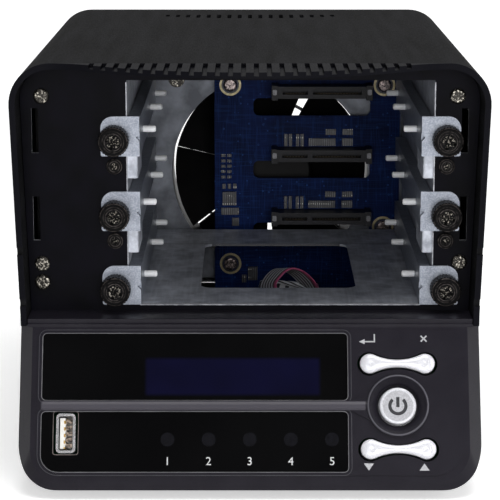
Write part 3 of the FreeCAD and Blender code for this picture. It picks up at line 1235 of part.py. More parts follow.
def button_back():
    return -(WELL_DEPTH + WELL_FLOOR) - BUTTON_FLANGE - BUTTON_STEM_LENGTH


def rocker_nub():
    return -ROCKER_DEPTH - ROCKER_NUB_LENGTH


def button_switches():
    switches = []
    for x, place in switch_places():
        base_top = BOARD_W + SWITCH_HEIGHT
        base = box(around(x, SWITCH_BASE), around(-place, SWITCH_BASE), (BOARD_W, base_top))
        plunger = rod(PLUNGER_RADIUS, V(x, -place, base_top), AXIS_Z, switch_top(x) - base_top)
        switches.append(on_panel(joined([base, plunger])))
    return switches


def power_button():
    """Round cap that slides in the well's bore; a flange behind the bore keeps it in."""
    centre = V(BUTTON_X, -BUTTON_DOWN, 0)
    flange_top = -(WELL_DEPTH + WELL_FLOOR)
    face_w = -BUTTON_SINK
    back = button_back()
    foot = V(centre.x, centre.y, flange_top - BUTTON_FLANGE)
    cap = rod(BUTTON_RADIUS, foot, AXIS_Z, face_w - foot.z)
    crest = [edge for edge in cap.Edges if len(edge.Vertexes) == 1 and edge.BoundBox.Center.z > face_w - 0.01]
    cap = cap.makeFillet(BUTTON_ROUND, crest[:1])
    flange = rod(BUTTON_RADIUS + BUTTON_FLANGE_WIDTH, foot, AXIS_Z, BUTTON_FLANGE)
    stem = rod(BUTTON_STEM_RADIUS, V(centre.x, centre.y, back), AXIS_Z, flange_top - back)
    return on_panel(joined([cap, flange, stem]))


def menu_rocker(place):
    """Dog-bone rocker on two pivot pins, with a nub over each of its switches."""
    cap = rocker_prism(place, (-ROCKER_DEPTH, ROCKER_PROUD), 0)
    crest = [edge for edge in cap.Edges if edge.BoundBox.ZMin > ROCKER_PROUD - 0.01]
    cap = cap.makeFillet(ROCKER_EDGE_RADIUS, crest)
    pivot = rod(PIVOT_RADIUS, V(BUTTON_X, -place - PIVOT_REACH, -PIVOT_DEPTH), AXIS_Y, 2 * PIVOT_REACH)
    nubs = [rod(ROCKER_NUB_RADIUS, V(BUTTON_X + side * ROCKER_HALF_SPAN, -place, rocker_nub()), AXIS_Z,
                ROCKER_NUB_LENGTH) for side in (-1, 1)]
    return on_panel(joined([cap, pivot] + nubs))


def usb_socket_shell():
    mouth_x, mouth_v = USB_MOUTH
    outer_x = mouth_x + 2 * USB_SHEET
    outer_v = mouth_v + 2 * USB_SHEET
    front_w = -USB_SINK
    body = panel_prism(around(USB_X, outer_x), around(USB_DOWN, outer_v), (BOARD_W, front_w),
                       (USB_CORNER + USB_SHEET,) * 4)
    lip = panel_prism(around(USB_X, outer_x + 2 * USB_LIP), around(USB_DOWN, outer_v + 2 * USB_LIP),
                      (front_w - USB_SHEET, front_w), (USB_CORNER + USB_SHEET + USB_LIP,) * 4)
    bore = panel_prism(around(USB_X, mouth_x), around(USB_DOWN, mouth_v), (BOARD_W + USB_SHEET, PAST),
                       (USB_CORNER,) * 4)
    return on_panel(without(joined([body, lip]), [bore]))


def usb_socket_tongue():
    """Insulating tongue with four contacts, on the block that closes the socket's back."""
    mouth_x, mouth_v = USB_MOUTH
    block_w = (BOARD_W + USB_SHEET, BOARD_W + USB_BLOCK)
    block = panel_prism(around(USB_X, mouth_x), around(USB_DOWN, mouth_v), block_w, (USB_CORNER,) * 4)
    tongue_x = around(USB_X + USB_TONGUE_OFFSET, USB_TONGUE[0])
    tongue = panel_prism(tongue_x, around(USB_DOWN, USB_TONGUE[1]), (block_w[1], -USB_TONGUE_SINK), (0,) * 4)
    thick, wide, long = USB_CONTACT
    tip_w = -USB_TONGUE_SINK - wide
    contacts = [panel_prism((tongue_x[1], tongue_x[1] + thick), around(USB_DOWN + offset, wide),
                            (tip_w - long, tip_w), (0,) * 4)
                for offset in USB_CONTACTS]
    return on_panel(joined([block, tongue] + contacts))


# ---- lower chassis -----------------------------------------------------------------------------------
def pan_half():
    return side_x(WAIST_Z, SHELL_WALL) - PLATE_GAP


def foot_places():
    x = side_x(WAIST_Z) - FOOT_INSET_X
    return [V(side * x, y, 0) for side in (-1, 1)
            for y in (FACE_Y + FOOT_FRONT_BEHIND_FACE, REAR_FACE_Y - FOOT_REAR_INSET)]


def base_pan():
    half = pan_half()
    y_span = (FACE_Y, REAR_FACE_Y - REAR_THICKNESS)
    floor = box((-half, half), y_span, (CASE_Z, PAN_TOP_Z))
    flange_y = (FACE_Y + FACE_THICKNESS + PLATE_GAP, y_span[1])
    flange_z = (CASE_Z, CASE_Z + PAN_FLANGE)
    sides = [box((-half, PAN_THICKNESS - half), flange_y, flange_z),
             box((half - PAN_THICKNESS, half), flange_y, flange_z)]
    holes = [rod(FOOT_STEM_RADIUS + FOOT_STEM_FIT, place + AXIS_Z * (CASE_Z - PAST), AXIS_Z,
                 PAN_THICKNESS + 2 * PAST)
             for place in foot_places()]
    return without(joined([floor] + sides), holes)


def feet():
    """Rubber feet, each held by a stem pressed through the pan."""
    pads = []
    for place in foot_places():
        pad = rod(FOOT_RADIUS, place, AXIS_Z, FOOT_HEIGHT)
        rims = [edge for edge in pad.Edges if len(edge.Vertexes) == 1 and edge.BoundBox.Center.z < 0.01]
        pad = pad.makeFillet(FOOT_ROUND, rims[:1])
        stem = rod(FOOT_STEM_RADIUS, place + AXIS_Z * FOOT_HEIGHT, AXIS_Z, FOOT_STEM_LENGTH)
        pads.append(joined([pad, stem]))
    return pads


def mainboard_span_y():
    return (FACE_Y + MAINBOARD_FRONT_BEHIND_FACE, REAR_INNER_Y - MAINBOARD_EDGE_GAP)


def mainboard_hole_places():
    y_low, y_high = mainboard_span_y()
    inset = MAINBOARD_HOLE_INSET
    return [V(x, y, MAINBOARD_Z) for x in (MAINBOARD_X[0] + inset, MAINBOARD_X[1] - inset)
            for y in (y_low + inset, y_high - MAINBOARD_PORT_DEPTH)]


def mainboard():
    board = box(MAINBOARD_X, mainboard_span_y(), (MAINBOARD_Z, MAINBOARD_TOP_Z))
    holes = [rod(BOARD_HOLE_RADIUS, place - AXIS_Z * PAST, AXIS_Z, BOARD_THICKNESS + 2 * PAST)
             for place in mainboard_hole_places()]
    return without(board, holes)


def mainboard_standoffs():
    height = MAINBOARD_Z - PAN_TOP_Z
    return [rod(STANDOFF_RADIUS, place - AXIS_Z * height, AXIS_Z, height)
            for place in mainboard_hole_places()]


def mainboard_parts():
    """Chips, memory socket, connector and capacitors on the mainboard."""
    y_low = mainboard_span_y()[0]
    top = MAINBOARD_TOP_Z
    parts = [box(around(x, width), around(y_low + behind, length), (top, top + height))
             for x, behind, width, length, height in MAINBOARD_CHIPS]
    first_x, pitch, behind = CAPACITOR_ROW
    for index in range(CAPACITOR_COUNT):
        start = V(first_x + pitch * index, y_low + behind, top)
        parts.append(rod(CAPACITOR_RADIUS, start, AXIS_Z, CAPACITOR_HEIGHT))
    return parts


def processor_heatsink():
    centre_x = MAINBOARD_X[1] - HEATSINK_FROM_RIGHT
    centre_y = FACE_Y + HEATSINK_BEHIND_FACE
    top = MAINBOARD_TOP_Z
    fin_z = (top + HEATSINK_BASE, top + HEATSINK_HEIGHT)
    pieces = [box(around(centre_x, HEATSINK_SIZE), around(centre_y, HEATSINK_SIZE), (top, fin_z[0]))]
    pitch = (HEATSINK_SIZE - HEATSINK_FIN) / (HEATSINK_FINS - 1)
    for index in range(HEATSINK_FINS):
        x = centre_x + (index - (HEATSINK_FINS - 1) / 2) * pitch
        pieces.append(box(around(x, HEATSINK_FIN), around(centre_y, HEATSINK_SIZE), fin_z))
    return joined(pieces)


# ---- ribbon cable ----------------------------------------------------------------------------
def ribbon_ends():
    """Upper plug's mouth on the backplane and lower plug's mouth on the mainboard."""
    upper = V(0, BACKPLANE_Y - RIBBON_PLUG, CASE_Z + RIBBON_UPPER_ABOVE_CASE)
    lower = V(0, BACKPLANE_Y - RIBBON_BEFORE_BACKPLANE, MAINBOARD_TOP_Z + RIBBON_PLUG)
    return upper, lower


def ribbon_cable():
    """Flat cable that leaves the backplane plug, arches up and drops into the mainboard plug."""
    upper, lower = ribbon_ends()
    half = RIBBON_THICKNESS / 2
    run = upper.y - lower.y
    radius = run / 2
    crest_z = max(upper.z, lower.z) + RIBBON_LIFT - radius
    x = RIBBON_X[0]
    centre_y = lower.y + radius
    points = []
    for offset in (half, -half):
        reach = radius + offset
        points.append((V(x, centre_y - reach, lower.z), V(x, centre_y - reach, crest_z),
                       V(x, centre_y, crest_z + reach), V(x, centre_y + reach, crest_z),
                       V(x, centre_y + reach, upper.z)))
    outer, inner = points
    edges = [Part.makeLine(outer[0], outer[1]), Part.Arc(outer[1], outer[2], outer[3]).toShape(),
             Part.makeLine(outer[3], outer[4]), Part.makeLine(outer[4], inner[4]),
             Part.makeLine(inner[4], inner[3]), Part.Arc(inner[3], inner[2], inner[1]).toShape(),
             Part.makeLine(inner[1], inner[0]), Part.makeLine(inner[0], outer[0])]
    return Part.Face(Part.Wire(edges)).extrude(V(RIBBON_X[1] - RIBBON_X[0], 0, 0))


def ribbon_plugs():
    upper, lower = ribbon_ends()
    x_span = (RIBBON_X[0] - RIBBON_PLUG_MARGIN, RIBBON_X[1] + RIBBON_PLUG_MARGIN)
    half = RIBBON_PLUG_HEIGHT / 2
    on_backplane = box(x_span, (upper.y - half, BACKPLANE_Y), (upper.z - RIBBON_PLUG_HEIGHT, upper.z))
    on_mainboard = box(x_span, (lower.y - half, lower.y + half), (MAINBOARD_TOP_Z, lower.z))
    return [on_backplane, on_mainboard]


# ---- rear --------------------------------------------------------------------------------------
def port(x, size):
    """Socket body on the mainboard's rear edge, its face flush with the rear panel."""
    width, height, length = size
    z_span = (MAINBOARD_TOP_Z, MAINBOARD_TOP_Z + height)
    return box(around(x, width), (REAR_FACE_Y - length, REAR_FACE_Y), z_span)


def mouth(x, width, rise_span, depth):
    """Cutter that opens a socket's face between two heights above the mainboard."""
    z_span = [MAINBOARD_TOP_Z + rise for rise in rise_span]
    return box(around(x, width), (REAR_FACE_Y - depth, REAR_FACE_Y + PAST), z_span)


def tongue(x, width, rise_span, depth):
    """Contact tongue that stands in a socket's mouth, rooted in the block behind it."""
    z_span = [MAINBOARD_TOP_Z + rise for rise in rise_span]
    return box(around(x, width), (REAR_FACE_Y - depth - TONGUE_ROOT, REAR_FACE_Y - TONGUE_SINK), z_span)


def network_jacks():
    width, rise_span, depth = NETWORK_MOUTH
    latch_width, latch_span = NETWORK_LATCH
    return [without(port(x, NETWORK_BODY), [mouth(x, width, rise_span, depth),
                                            mouth(x, latch_width, latch_span, depth)])
            for x in NETWORK_XS]


def rear_usb_sockets():
    """Two sockets, one above the other, in one housing."""
    width, height, depth = REAR_USB_MOUTH
    tongue_width, tongue_span = REAR_USB_TONGUE
    cutters = []
    tongues = []
    for base in REAR_USB_BASES:
        cutters.append(mouth(REAR_USB_X, width, (base, base + height), depth))
        tongues.append(tongue(REAR_USB_X, tongue_width, [base + rise for rise in tongue_span], depth))
    return joined([without(port(REAR_USB_X, REAR_USB_BODY), cutters)] + tongues)


def hdmi_socket():
    """Six-sided mouth, wide above and narrow below."""
    y = REAR_FACE_Y - HDMI_DEPTH
    corners = [(V(HDMI_X + x, y, MAINBOARD_TOP_Z + rise), 0) for x, rise in HDMI_MOUTH]
    corners += [(V(HDMI_X - x, y, MAINBOARD_TOP_Z + rise), 0) for x, rise in reversed(HDMI_MOUTH)]
    opening = prism(corners, V(0, HDMI_DEPTH + PAST, 0))
    tongue_width, tongue_span = HDMI_TONGUE
    return joined([without(port(HDMI_X, HDMI_BODY), [opening]),
                   tongue(HDMI_X, tongue_width, tongue_span, HDMI_DEPTH)])


def esata_socket():
    width, rise_span, depth = ESATA_MOUTH
    tongue_width, tongue_span = ESATA_TONGUE
    return joined([without(port(ESATA_X, ESATA_BODY), [mouth(ESATA_X, width, rise_span, depth)]),
                   tongue(ESATA_X, tongue_width, tongue_span, depth)])


def audio_video_jacks():
    """Round jacks: an outer sleeve proud of the panel in a square block."""
    jacks = []
    for x in JACK_XS:
        start = V(x, REAR_FACE_Y - JACK_DEPTH, MAINBOARD_TOP_Z + JACK_RISE)
        bore = rod(JACK_RADIUS, start, AXIS_Y, JACK_DEPTH + PAST)
        sleeve = tube(JACK_RADIUS, JACK_BORE, start, AXIS_Y, JACK_DEPTH + JACK_PROUD)
        jacks.append(joined([without(port(x, JACK_BODY), [bore]), sleeve]))
    return jacks


def optical_socket():
    width, rise_span, depth = OPTICAL_MOUTH
    return without(port(OPTICAL_X, OPTICAL_BODY), [mouth(OPTICAL_X, width, rise_span, depth)])


def port_windows():
    """Cut-outs in the rear panel, each the socket's own face plus a gap."""
    places = [(x, NETWORK_BODY) for x in NETWORK_XS] + [(x, JACK_BODY) for x in JACK_XS]
    places += [(REAR_USB_X, REAR_USB_BODY), (HDMI_X, HDMI_BODY), (ESATA_X, ESATA_BODY)]
    places.append((OPTICAL_X, OPTICAL_BODY))
    gap = REAR_HOLE_GAP
    y_span = (REAR_INNER_Y - PAST, REAR_FACE_Y + PAST)
    return [box(around(x, width + 2 * gap), y_span, (MAINBOARD_TOP_Z - gap, MAINBOARD_TOP_Z + height + gap))
            for x, (width, height, length) in places]


def rear_screw_places():
    x = pan_half() - REAR_SCREW_INSET
    heights = (CASE_Z + REAR_SCREW_ABOVE_CASE, TOP_Z - SHELL_CORNER_RADIUS)
    return [V(side * x, REAR_FACE_Y, z) for side in (-1, 1) for z in heights]


def rear_panel():
    sheet = case_section(SHELL_WALL + PLATE_GAP, CASE_Z, REAR_INNER_Y).extrude(V(0, REAR_THICKNESS, 0))
    cutters = port_windows()
    start_y = REAR_INNER_Y - PAST
    length = REAR_THICKNESS + 2 * PAST
    cutters.append(rod(FAN_BORE_RADIUS, V(FAN_X, start_y, CASE_Z + FAN_ABOVE_CASE), AXIS_Y, length))
    cutters += [rod(FAN_HOLE_RADIUS, place, AXIS_Y, length) for place in fan_hole_places(start_y)]
    cutters += [rod(SCREW_HOLE_RADIUS, V(place.x, start_y, place.z), AXIS_Y, length)
                for place in rear_screw_places()]
    gap = REAR_HOLE_GAP
    cutters.append(box(around(inlet_x(), INLET_SIZE[0] + 2 * gap), (start_y, start_y + length),
                       around(CASE_Z + INLET_ABOVE_CASE, INLET_SIZE[1] + 2 * gap)))
    return without(sheet, cutters)


def rear_screws():
    return [cross_screw(CAGE_SCREW_HEAD_RADIUS, place, AXIS_Y * -1) for place in rear_screw_places()]


def supply_span_x():
    """The supply fills the space between the left side and the bays."""
    return (SUPPLY_FROM_SIDE - WIDTH / 2, bay_span()[0] - CAGE_WALL - SUPPLY_CAGE_GAP)


def supply_span_y():
    return (FACE_Y + SUPPLY_BEHIND_FACE, REAR_INNER_Y - INLET_DEPTH)


def inlet_x():
    return supply_span_x()[0] + INLET_FROM_SUPPLY_SIDE


def power_supply():
    """Closed supply housing with vent grooves, on two legs that stand on the pan's side flange."""
    z_span = (CASE_Z + SUPPLY_FOOT_ABOVE_CASE, TOP_Z - SUPPLY_TOP_BELOW_ROOF)
    x_span = supply_span_x()
    y_span = supply_span_y()
    body = box(x_span, y_span, z_span)
    vent_x = (x_span[1] - SUPPLY_VENT_DEPTH, x_span[1] + PAST)
    vent_z = (z_span[0] + SUPPLY_VENT_MARGIN, z_span[1] - SUPPLY_VENT_MARGIN)
    first_y = y_span[0] + SUPPLY_VENT_START
    vents = [box(vent_x, around(first_y + SUPPLY_VENT_PITCH * index, SUPPLY_VENT_WIDTH), vent_z)
             for index in range(SUPPLY_VENT_COUNT)]
    leg_x = (x_span[0], x_span[0] + PAN_THICKNESS)
    legs = [box(leg_x, around(y, SUPPLY_LEG), (CASE_Z + PAN_FLANGE, z_span[0]))
            for y in (y_span[0] + SUPPLY_LEG, y_span[1] - SUPPLY_LEG)]
    return joined([without(body, vents)] + legs)


def power_inlet():
    """Three-pin appliance inlet in the rear panel, backed onto the supply."""
    centre_x = inlet_x()
    centre_z = CASE_Z + INLET_ABOVE_CASE
    back_y = supply_span_y()[1]
    width, height = INLET_SIZE
    body = box(around(centre_x, width), (back_y, REAR_FACE_Y), around(centre_z, height))
    flange = box(around(centre_x, width + 2 * INLET_LIP), (REAR_FACE_Y, REAR_FACE_Y + INLET_PROUD),
                 around(centre_z, height + 2 * INLET_LIP))
    pocket_y = (back_y + INLET_BACK, REAR_FACE_Y + INLET_PROUD + PAST)
    pocket = box(around(centre_x, INLET_POCKET[0]), pocket_y, around(centre_z, INLET_POCKET[1]))
    blades = [box(around(centre_x + x, INLET_BLADE[0]), (back_y + INLET_BACK, REAR_FACE_Y - INLET_PROUD),
                  around(centre_z + z, INLET_BLADE[1])) for x, z in INLET_BLADES]
    return joined([without(joined([body, flange]), [pocket])] + blades)


# ---- write every node --------------------------------------------------------------------------------------
def main():
    os.makedirs("parts", exist_ok=True)
    save("outer_shell", outer_shell())
    save("face_plate", face_plate())
    save("face_screws", face_screws())
    save("cage_screws", cage_screws())
    save("drive_cage", drive_cage())
    save("cage_bulkhead", cage_bulkhead())
    for side, row, knob in knob_places():
        name = "left" if side < 0 else "right"
        save("%s_rail_%d" % (name, row + 1), rail(side, row))
        save("%s_thumbscrew_%d" % (name, row + 1), thumbscrew(knob))
    save("backplane_board", backplane_board())
    for row in range(BAY_COUNT):
        save("sata_connector_%d" % (row + 1), sata_connector(row))
    save("backplane_parts", backplane_parts())
    save("backplane_screws", backplane_screws())
    save("backplane_standoffs", backplane_standoffs())
    save("fan_frame", fan_frame())
    save("fan_rotor", fan_rotor())
    save("fan_guard", fan_guard())
    save("fan_screws", fan_screws())
    save("console_bezel", console_bezel())
    save("shelf_trim", shelf_trim())
    save("display_window", display_window())
    save("status_window", status_window())
    save("display_module", display_module())
    save("led_light_pipes", led_light_pipes())
    save("control_board", control_board())
    save("button_switches", button_switches())
    save("power_button", power_button())
    save("menu_rocker_upper", menu_rocker(ROCKER_DOWNS[0]))
    save("menu_rocker_lower", menu_rocker(ROCKER_DOWNS[1]))
    save("usb_socket_shell", usb_socket_shell())
    save("usb_socket_tongue", usb_socket_tongue())
    save("base_pan", base_pan())
    save("feet", feet())
    save("mainboard", mainboard())
    save("mainboard_standoffs", mainboard_standoffs())
    save("mainboard_parts", mainboard_parts())
    save("processor_heatsink", processor_heatsink())
    save("ribbon_cable", ribbon_cable())
    save("ribbon_plugs", ribbon_plugs())
    save("network_jacks", network_jacks())
    save("rear_usb_sockets", rear_usb_sockets())
    save("hdmi_socket", hdmi_socket())
    save("esata_socket", esata_socket())
    save("audio_video_jacks", audio_video_jacks())
    save("optical_socket", optical_socket())
    save("rear_panel", rear_panel())
    save("rear_screws", rear_screws())
    save("power_supply", power_supply())
    save("power_inlet", power_inlet())


main()
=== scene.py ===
import bpy
import json
import math
from mathutils import Matrix, Vector


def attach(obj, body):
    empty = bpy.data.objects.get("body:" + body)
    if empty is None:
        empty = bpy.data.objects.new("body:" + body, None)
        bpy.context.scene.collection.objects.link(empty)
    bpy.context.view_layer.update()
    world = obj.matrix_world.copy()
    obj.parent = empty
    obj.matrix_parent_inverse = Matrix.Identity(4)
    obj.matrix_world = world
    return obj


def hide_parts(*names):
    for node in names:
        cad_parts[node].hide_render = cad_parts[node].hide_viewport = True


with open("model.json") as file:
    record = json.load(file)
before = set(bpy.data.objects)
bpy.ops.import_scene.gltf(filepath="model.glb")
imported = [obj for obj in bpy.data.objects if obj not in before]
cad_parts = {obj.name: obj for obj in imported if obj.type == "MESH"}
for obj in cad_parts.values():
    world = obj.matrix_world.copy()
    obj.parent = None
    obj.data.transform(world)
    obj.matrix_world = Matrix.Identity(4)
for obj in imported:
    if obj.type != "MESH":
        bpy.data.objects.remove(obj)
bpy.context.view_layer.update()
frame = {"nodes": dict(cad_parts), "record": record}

MM = 0.001

# ---- places, millimetres, as the solids have them -----------------------------------------------
FACE_Y = -75.3              # front of the face plate
FACE_THICKNESS = 1.2
RIM_Y = -90.3               # front rim of the shell, and top edge of the panel
BACKPLANE_Y = 81.7
BULKHEAD_Y = 87.4
CUTOUT_REAR_Y = 35.4        # rear edge of the cut-out in the bay's floor
# front wall of the power supply, as far as the plate's slots show it, painted dark as shade
SUPPLY_FRONT_Y, SUPPLY_RIGHT_X, SUPPLY_LOW_Z = -49.4, -47.0, 15.0
REAR_SOCKETS_Y = 88.0

PANEL_TOP_Z = 58.1
PANEL_TILT = math.radians(65.4)
# windows on the panel: left, right, and distances down the panel of top and bottom
DISPLAY_WINDOW = (-75.7, 35.7, 2.1, 27.1)
STATUS_WINDOW = (-75.7, 35.7, 30.9, 53.2)
LCD = (-37.8, 25.2, 11.6, 24.9)
WINDOW_RADIUS = 1.8
STATUS_RADIUS = 6.5
RIB = (-30.6, -27.4)        # raised rib between the windows, measured up the panel; a highlight is painted along it
RIB_END_X = 41.8
LED_XS = [-0.1 + 14.85 * (index - 2) for index in range(5)]
LED_DOWN = 41.2
LED_RADIUS = 2.5
BUTTON = (53.6, 28.9)       # middle of the power button: x, and distance down the panel
BUTTON_FACE = -0.2
BUTTON_RING = (10.6, 11.15)     # radii of the painted highlight line on the ring round the button
BUTTON_FLAT = 5.7           # radius of the button's flat face
TONGUE_METAL_X = (-67.35, -66.75)
TONGUE_PITCH = 2.4

BAY_X = 11.2
BAY_HALF_WIDTH = 56.15
RAIL_HALF_GAP = 51.6
KNOB_ZS = (125.2, 97.35, 69.5)
KNOB_PITCH = 27.85
KNOB_OFFSET = 60.9
CAGE_SCREW_DROP = 10.0
BACKPLANE_SCREWS = ((-8.65, 125.0), (59.0, 124.8), (-8.65, 44.8), (59.0, 61.4))
LEAD_PITCH = 0.95
LEAD_ROW_PITCH = 3.7
SATA_X = 31.35
SATA_DROP = 2.45
SATA_WIDTH = 43.8
SATA_FACE_Y = 71.7
SATA_EAR = 2.6
SATA_MOUTHS = (11.0, 21.2)
SATA_CONTACTS = (7, 15)
SATA_CONTACT_PITCH = 1.27


def turned_up(y, z, angle):
    """Frame whose x runs across the case and whose y climbs at the angle, from the given point."""
    return Matrix.Translation(Vector((0, y, z)) * MM) @ Matrix.Rotation(angle, 4, "X")


PANEL = turned_up(RIM_Y, PANEL_TOP_Z, PANEL_TILT)
BOARD = turned_up(BACKPLANE_Y, 0, math.radians(90))
FRONT_PLATE = turned_up(FACE_Y, 0, math.radians(90))


def tone(red, green, blue):
    """Linear colour from display values of 0 to 255."""
    def linear(value):
        share = value / 255
        return share / 12.92 if share <= 0.04045 else ((share + 0.055) / 1.055) ** 2.4
    return (linear(red), linear(green), linear(blue), 1.0)


# ---- materials ----------------------------------------------------------------------------------
class Finish:
    """One procedural material, laid out in the frame's own coordinates.

    Grain and fine are noise sizes in millimetres: the first spreads the two colours, the second
    the roughness and the bump."""

    def __init__(self, name, color, other, grain=6.0, stretch=(1, 1, 1), rough=(0.4, 0.5),
                 fine=0.5, bump=0.01, metallic=0.0, specular=0.5, contrast=(0.35, 0.65)):
        self.material = bpy.data.materials.new(name)
        self.material.use_nodes = True
        self.nodes = self.material.node_tree.nodes
        self.links = self.material.node_tree.links
        self.shader = self.nodes["Principled BSDF"]
        self.shader.inputs["Metallic"].default_value = metallic
        self.shader.inputs["Specular IOR Level"].default_value = specular
        self.place = self.nodes.new("ShaderNodeTexCoord").outputs["Object"]
        self.color = self.blend(self.spread(self.noise(grain, stretch), *contrast), color, other)
        self.height = self.noise(fine, stretch, 3.0)
        self.roughness = self.spread(self.height, 0.25, 0.75, *rough)
        self.bump = bump

    def feed(self, socket, entry):
        """Links another node's output to a socket, or sets the socket's own value."""
        if isinstance(entry, bpy.types.NodeSocket):
            self.links.new(entry, socket)
        else:
            socket.default_value = entry

    def maths(self, operation, *inputs, kind="ShaderNodeMath"):
        node = self.nodes.new(kind)
        node.operation = operation
        for socket, entry in zip(node.inputs, inputs):
            self.feed(socket, entry)
        return node.outputs[0]

    def noise(self, size, stretch=(1, 1, 1), detail=4.0):
        node = self.nodes.new("ShaderNodeTexNoise")
        stretched = self.maths("MULTIPLY", self.place, stretch, kind="ShaderNodeVectorMath")
        self.links.new(stretched, node.inputs["Vector"])
        node.inputs["Scale"].default_value = 1 / (size * MM)
        node.inputs["Detail"].default_value = detail
        return node.outputs[0]

    def cells(self, size, feature="F1"):
        """Distance to the middle of the nearest of many random cells."""
        node = self.nodes.new("ShaderNodeTexVoronoi")
        node.feature = feature
        self.links.new(self.place, node.inputs["Vector"])
        node.inputs["Scale"].default_value = 1 / (size * MM)
        return node.outputs["Distance"]

    def spread(self, source, low, high, to_low=0.0, to_high=1.0):
        """Maps the span from low to high onto another span, and holds it there."""
        node = self.nodes.new("ShaderNodeMapRange")
        self.links.new(source, node.inputs["Value"])
        for name, entry in (("From Min", low), ("From Max", high),
                            ("To Min", to_low), ("To Max", to_high)):
            node.inputs[name].default_value = entry
        return node.outputs[0]

    def blend(self, share, first, second):
        """Colour between two colours."""
        node = self.nodes.new("ShaderNodeMix")
        node.data_type = "RGBA"
        for index, entry in ((0, share), (6, first), (7, second)):
            self.feed(node.inputs[index], entry)
        return node.outputs[2]

    def both(self, first, second):
        return self.maths("MULTIPLY", first, second)

    def axis(self, index):
        """Coordinate along one axis of the frame, in millimetres."""
        split = self.nodes.new("ShaderNodeSeparateXYZ")
        self.links.new(self.place, split.inputs[0])
        return self.both(split.outputs[index], 1 / MM)

    def up_panel(self):
        """Distance up the console panel from its top edge, in millimetres (below it: negative)."""
        back = self.maths("SUBTRACT", self.axis(1), RIM_Y)
        up = self.maths("SUBTRACT", self.axis(2), PANEL_TOP_Z)
        return self.maths("ADD", self.both(back, math.cos(PANEL_TILT)),
                          self.both(up, math.sin(PANEL_TILT)))

    def from_bay(self):
        """Distance to either side of the bay's middle plane."""
        return self.maths("ABSOLUTE", self.maths("SUBTRACT", self.axis(0), BAY_X))

    def distance(self, across, along):
        return self.maths("SQRT", self.maths("ADD", self.both(across, across),
                                             self.both(along, along)))

    def from_button(self):
        """Distance on the panel from the power button's middle."""
        return self.distance(self.maths("SUBTRACT", self.axis(0), BUTTON[0]),
                             self.maths("ADD", self.up_panel(), BUTTON[1]))

    def phase(self, source, pitch):
        """Place within a repeating pitch, from 0 to 1."""
        return self.maths("FRACT", self.maths("DIVIDE", source, pitch))

    def within(self, source, low, high, edge=0.05):
        """1 between two values, with a soft edge."""
        rise = self.spread(source, low - edge, low + edge)
        fall = self.spread(source, high - edge, high + edge, 1.0, 0.0)
        return self.both(rise, fall)

    def over(self, mask, color, rough=None, metallic=None):
        """Lays another colour, and if given another roughness, over the masked part.

        A metalness given counts for this mask alone, in place of an earlier one."""
        self.color = self.blend(mask, self.color, color)
        if rough is not None:
            other = self.spread(self.height, 0.25, 0.75, *rough)
            rest = self.maths("SUBTRACT", 1.0, mask)
            self.roughness = self.maths("ADD", self.both(mask, other),
                                        self.both(rest, self.roughness))
        if metallic is not None:
            socket = self.shader.inputs["Metallic"]
            self.links.new(self.spread(mask, 0.0, 1.0, socket.default_value, metallic), socket)

    def done(self):
        self.links.new(self.color, self.shader.inputs["Base Color"])
        self.links.new(self.roughness, self.shader.inputs["Roughness"])
        node = self.nodes.new("ShaderNodeBump")
        node.inputs["Distance"].default_value = self.bump * MM
        self.links.new(self.height, node.inputs["Height"])
        self.links.new(node.outputs[0], self.shader.inputs["Normal"])
        return self.material


def finish(name, color, other, **settings):
    return Finish(name, color, other, **settings).done()


def shell_finish():
    """Black powder coat, drawn out from front to back, with a smoother front rim."""
    look = Finish("shell_black", tone(19, 19, 20), tone(29, 29, 31), grain=5.0,
                  stretch=(1, 0.08, 1), rough=(0.5, 0.62), fine=0.45, bump=0.03, specular=0.03)
    rim = look.spread(look.axis(1), RIM_Y + 0.3, RIM_Y + 0.05)
    look.over(rim, tone(14, 14, 19), rough=(0.35, 0.45))
    return look.done()


def plate_finish():
    """Black paint, with bare metal on the cut edges of the sheet."""
    look = Finish("plate_black", tone(5, 5, 9), tone(10, 9, 17), grain=9.0, rough=(0.34, 0.44),
                  fine=0.3, bump=0.008, specular=0.04)
    cut_edge = look.within(look.axis(1), FACE_Y + 0.1, FACE_Y + FACE_THICKNESS - 0.1, 0.04)
    look.over(cut_edge, tone(190, 192, 198), rough=(0.25, 0.4), metallic=0.2)
    return look.done()


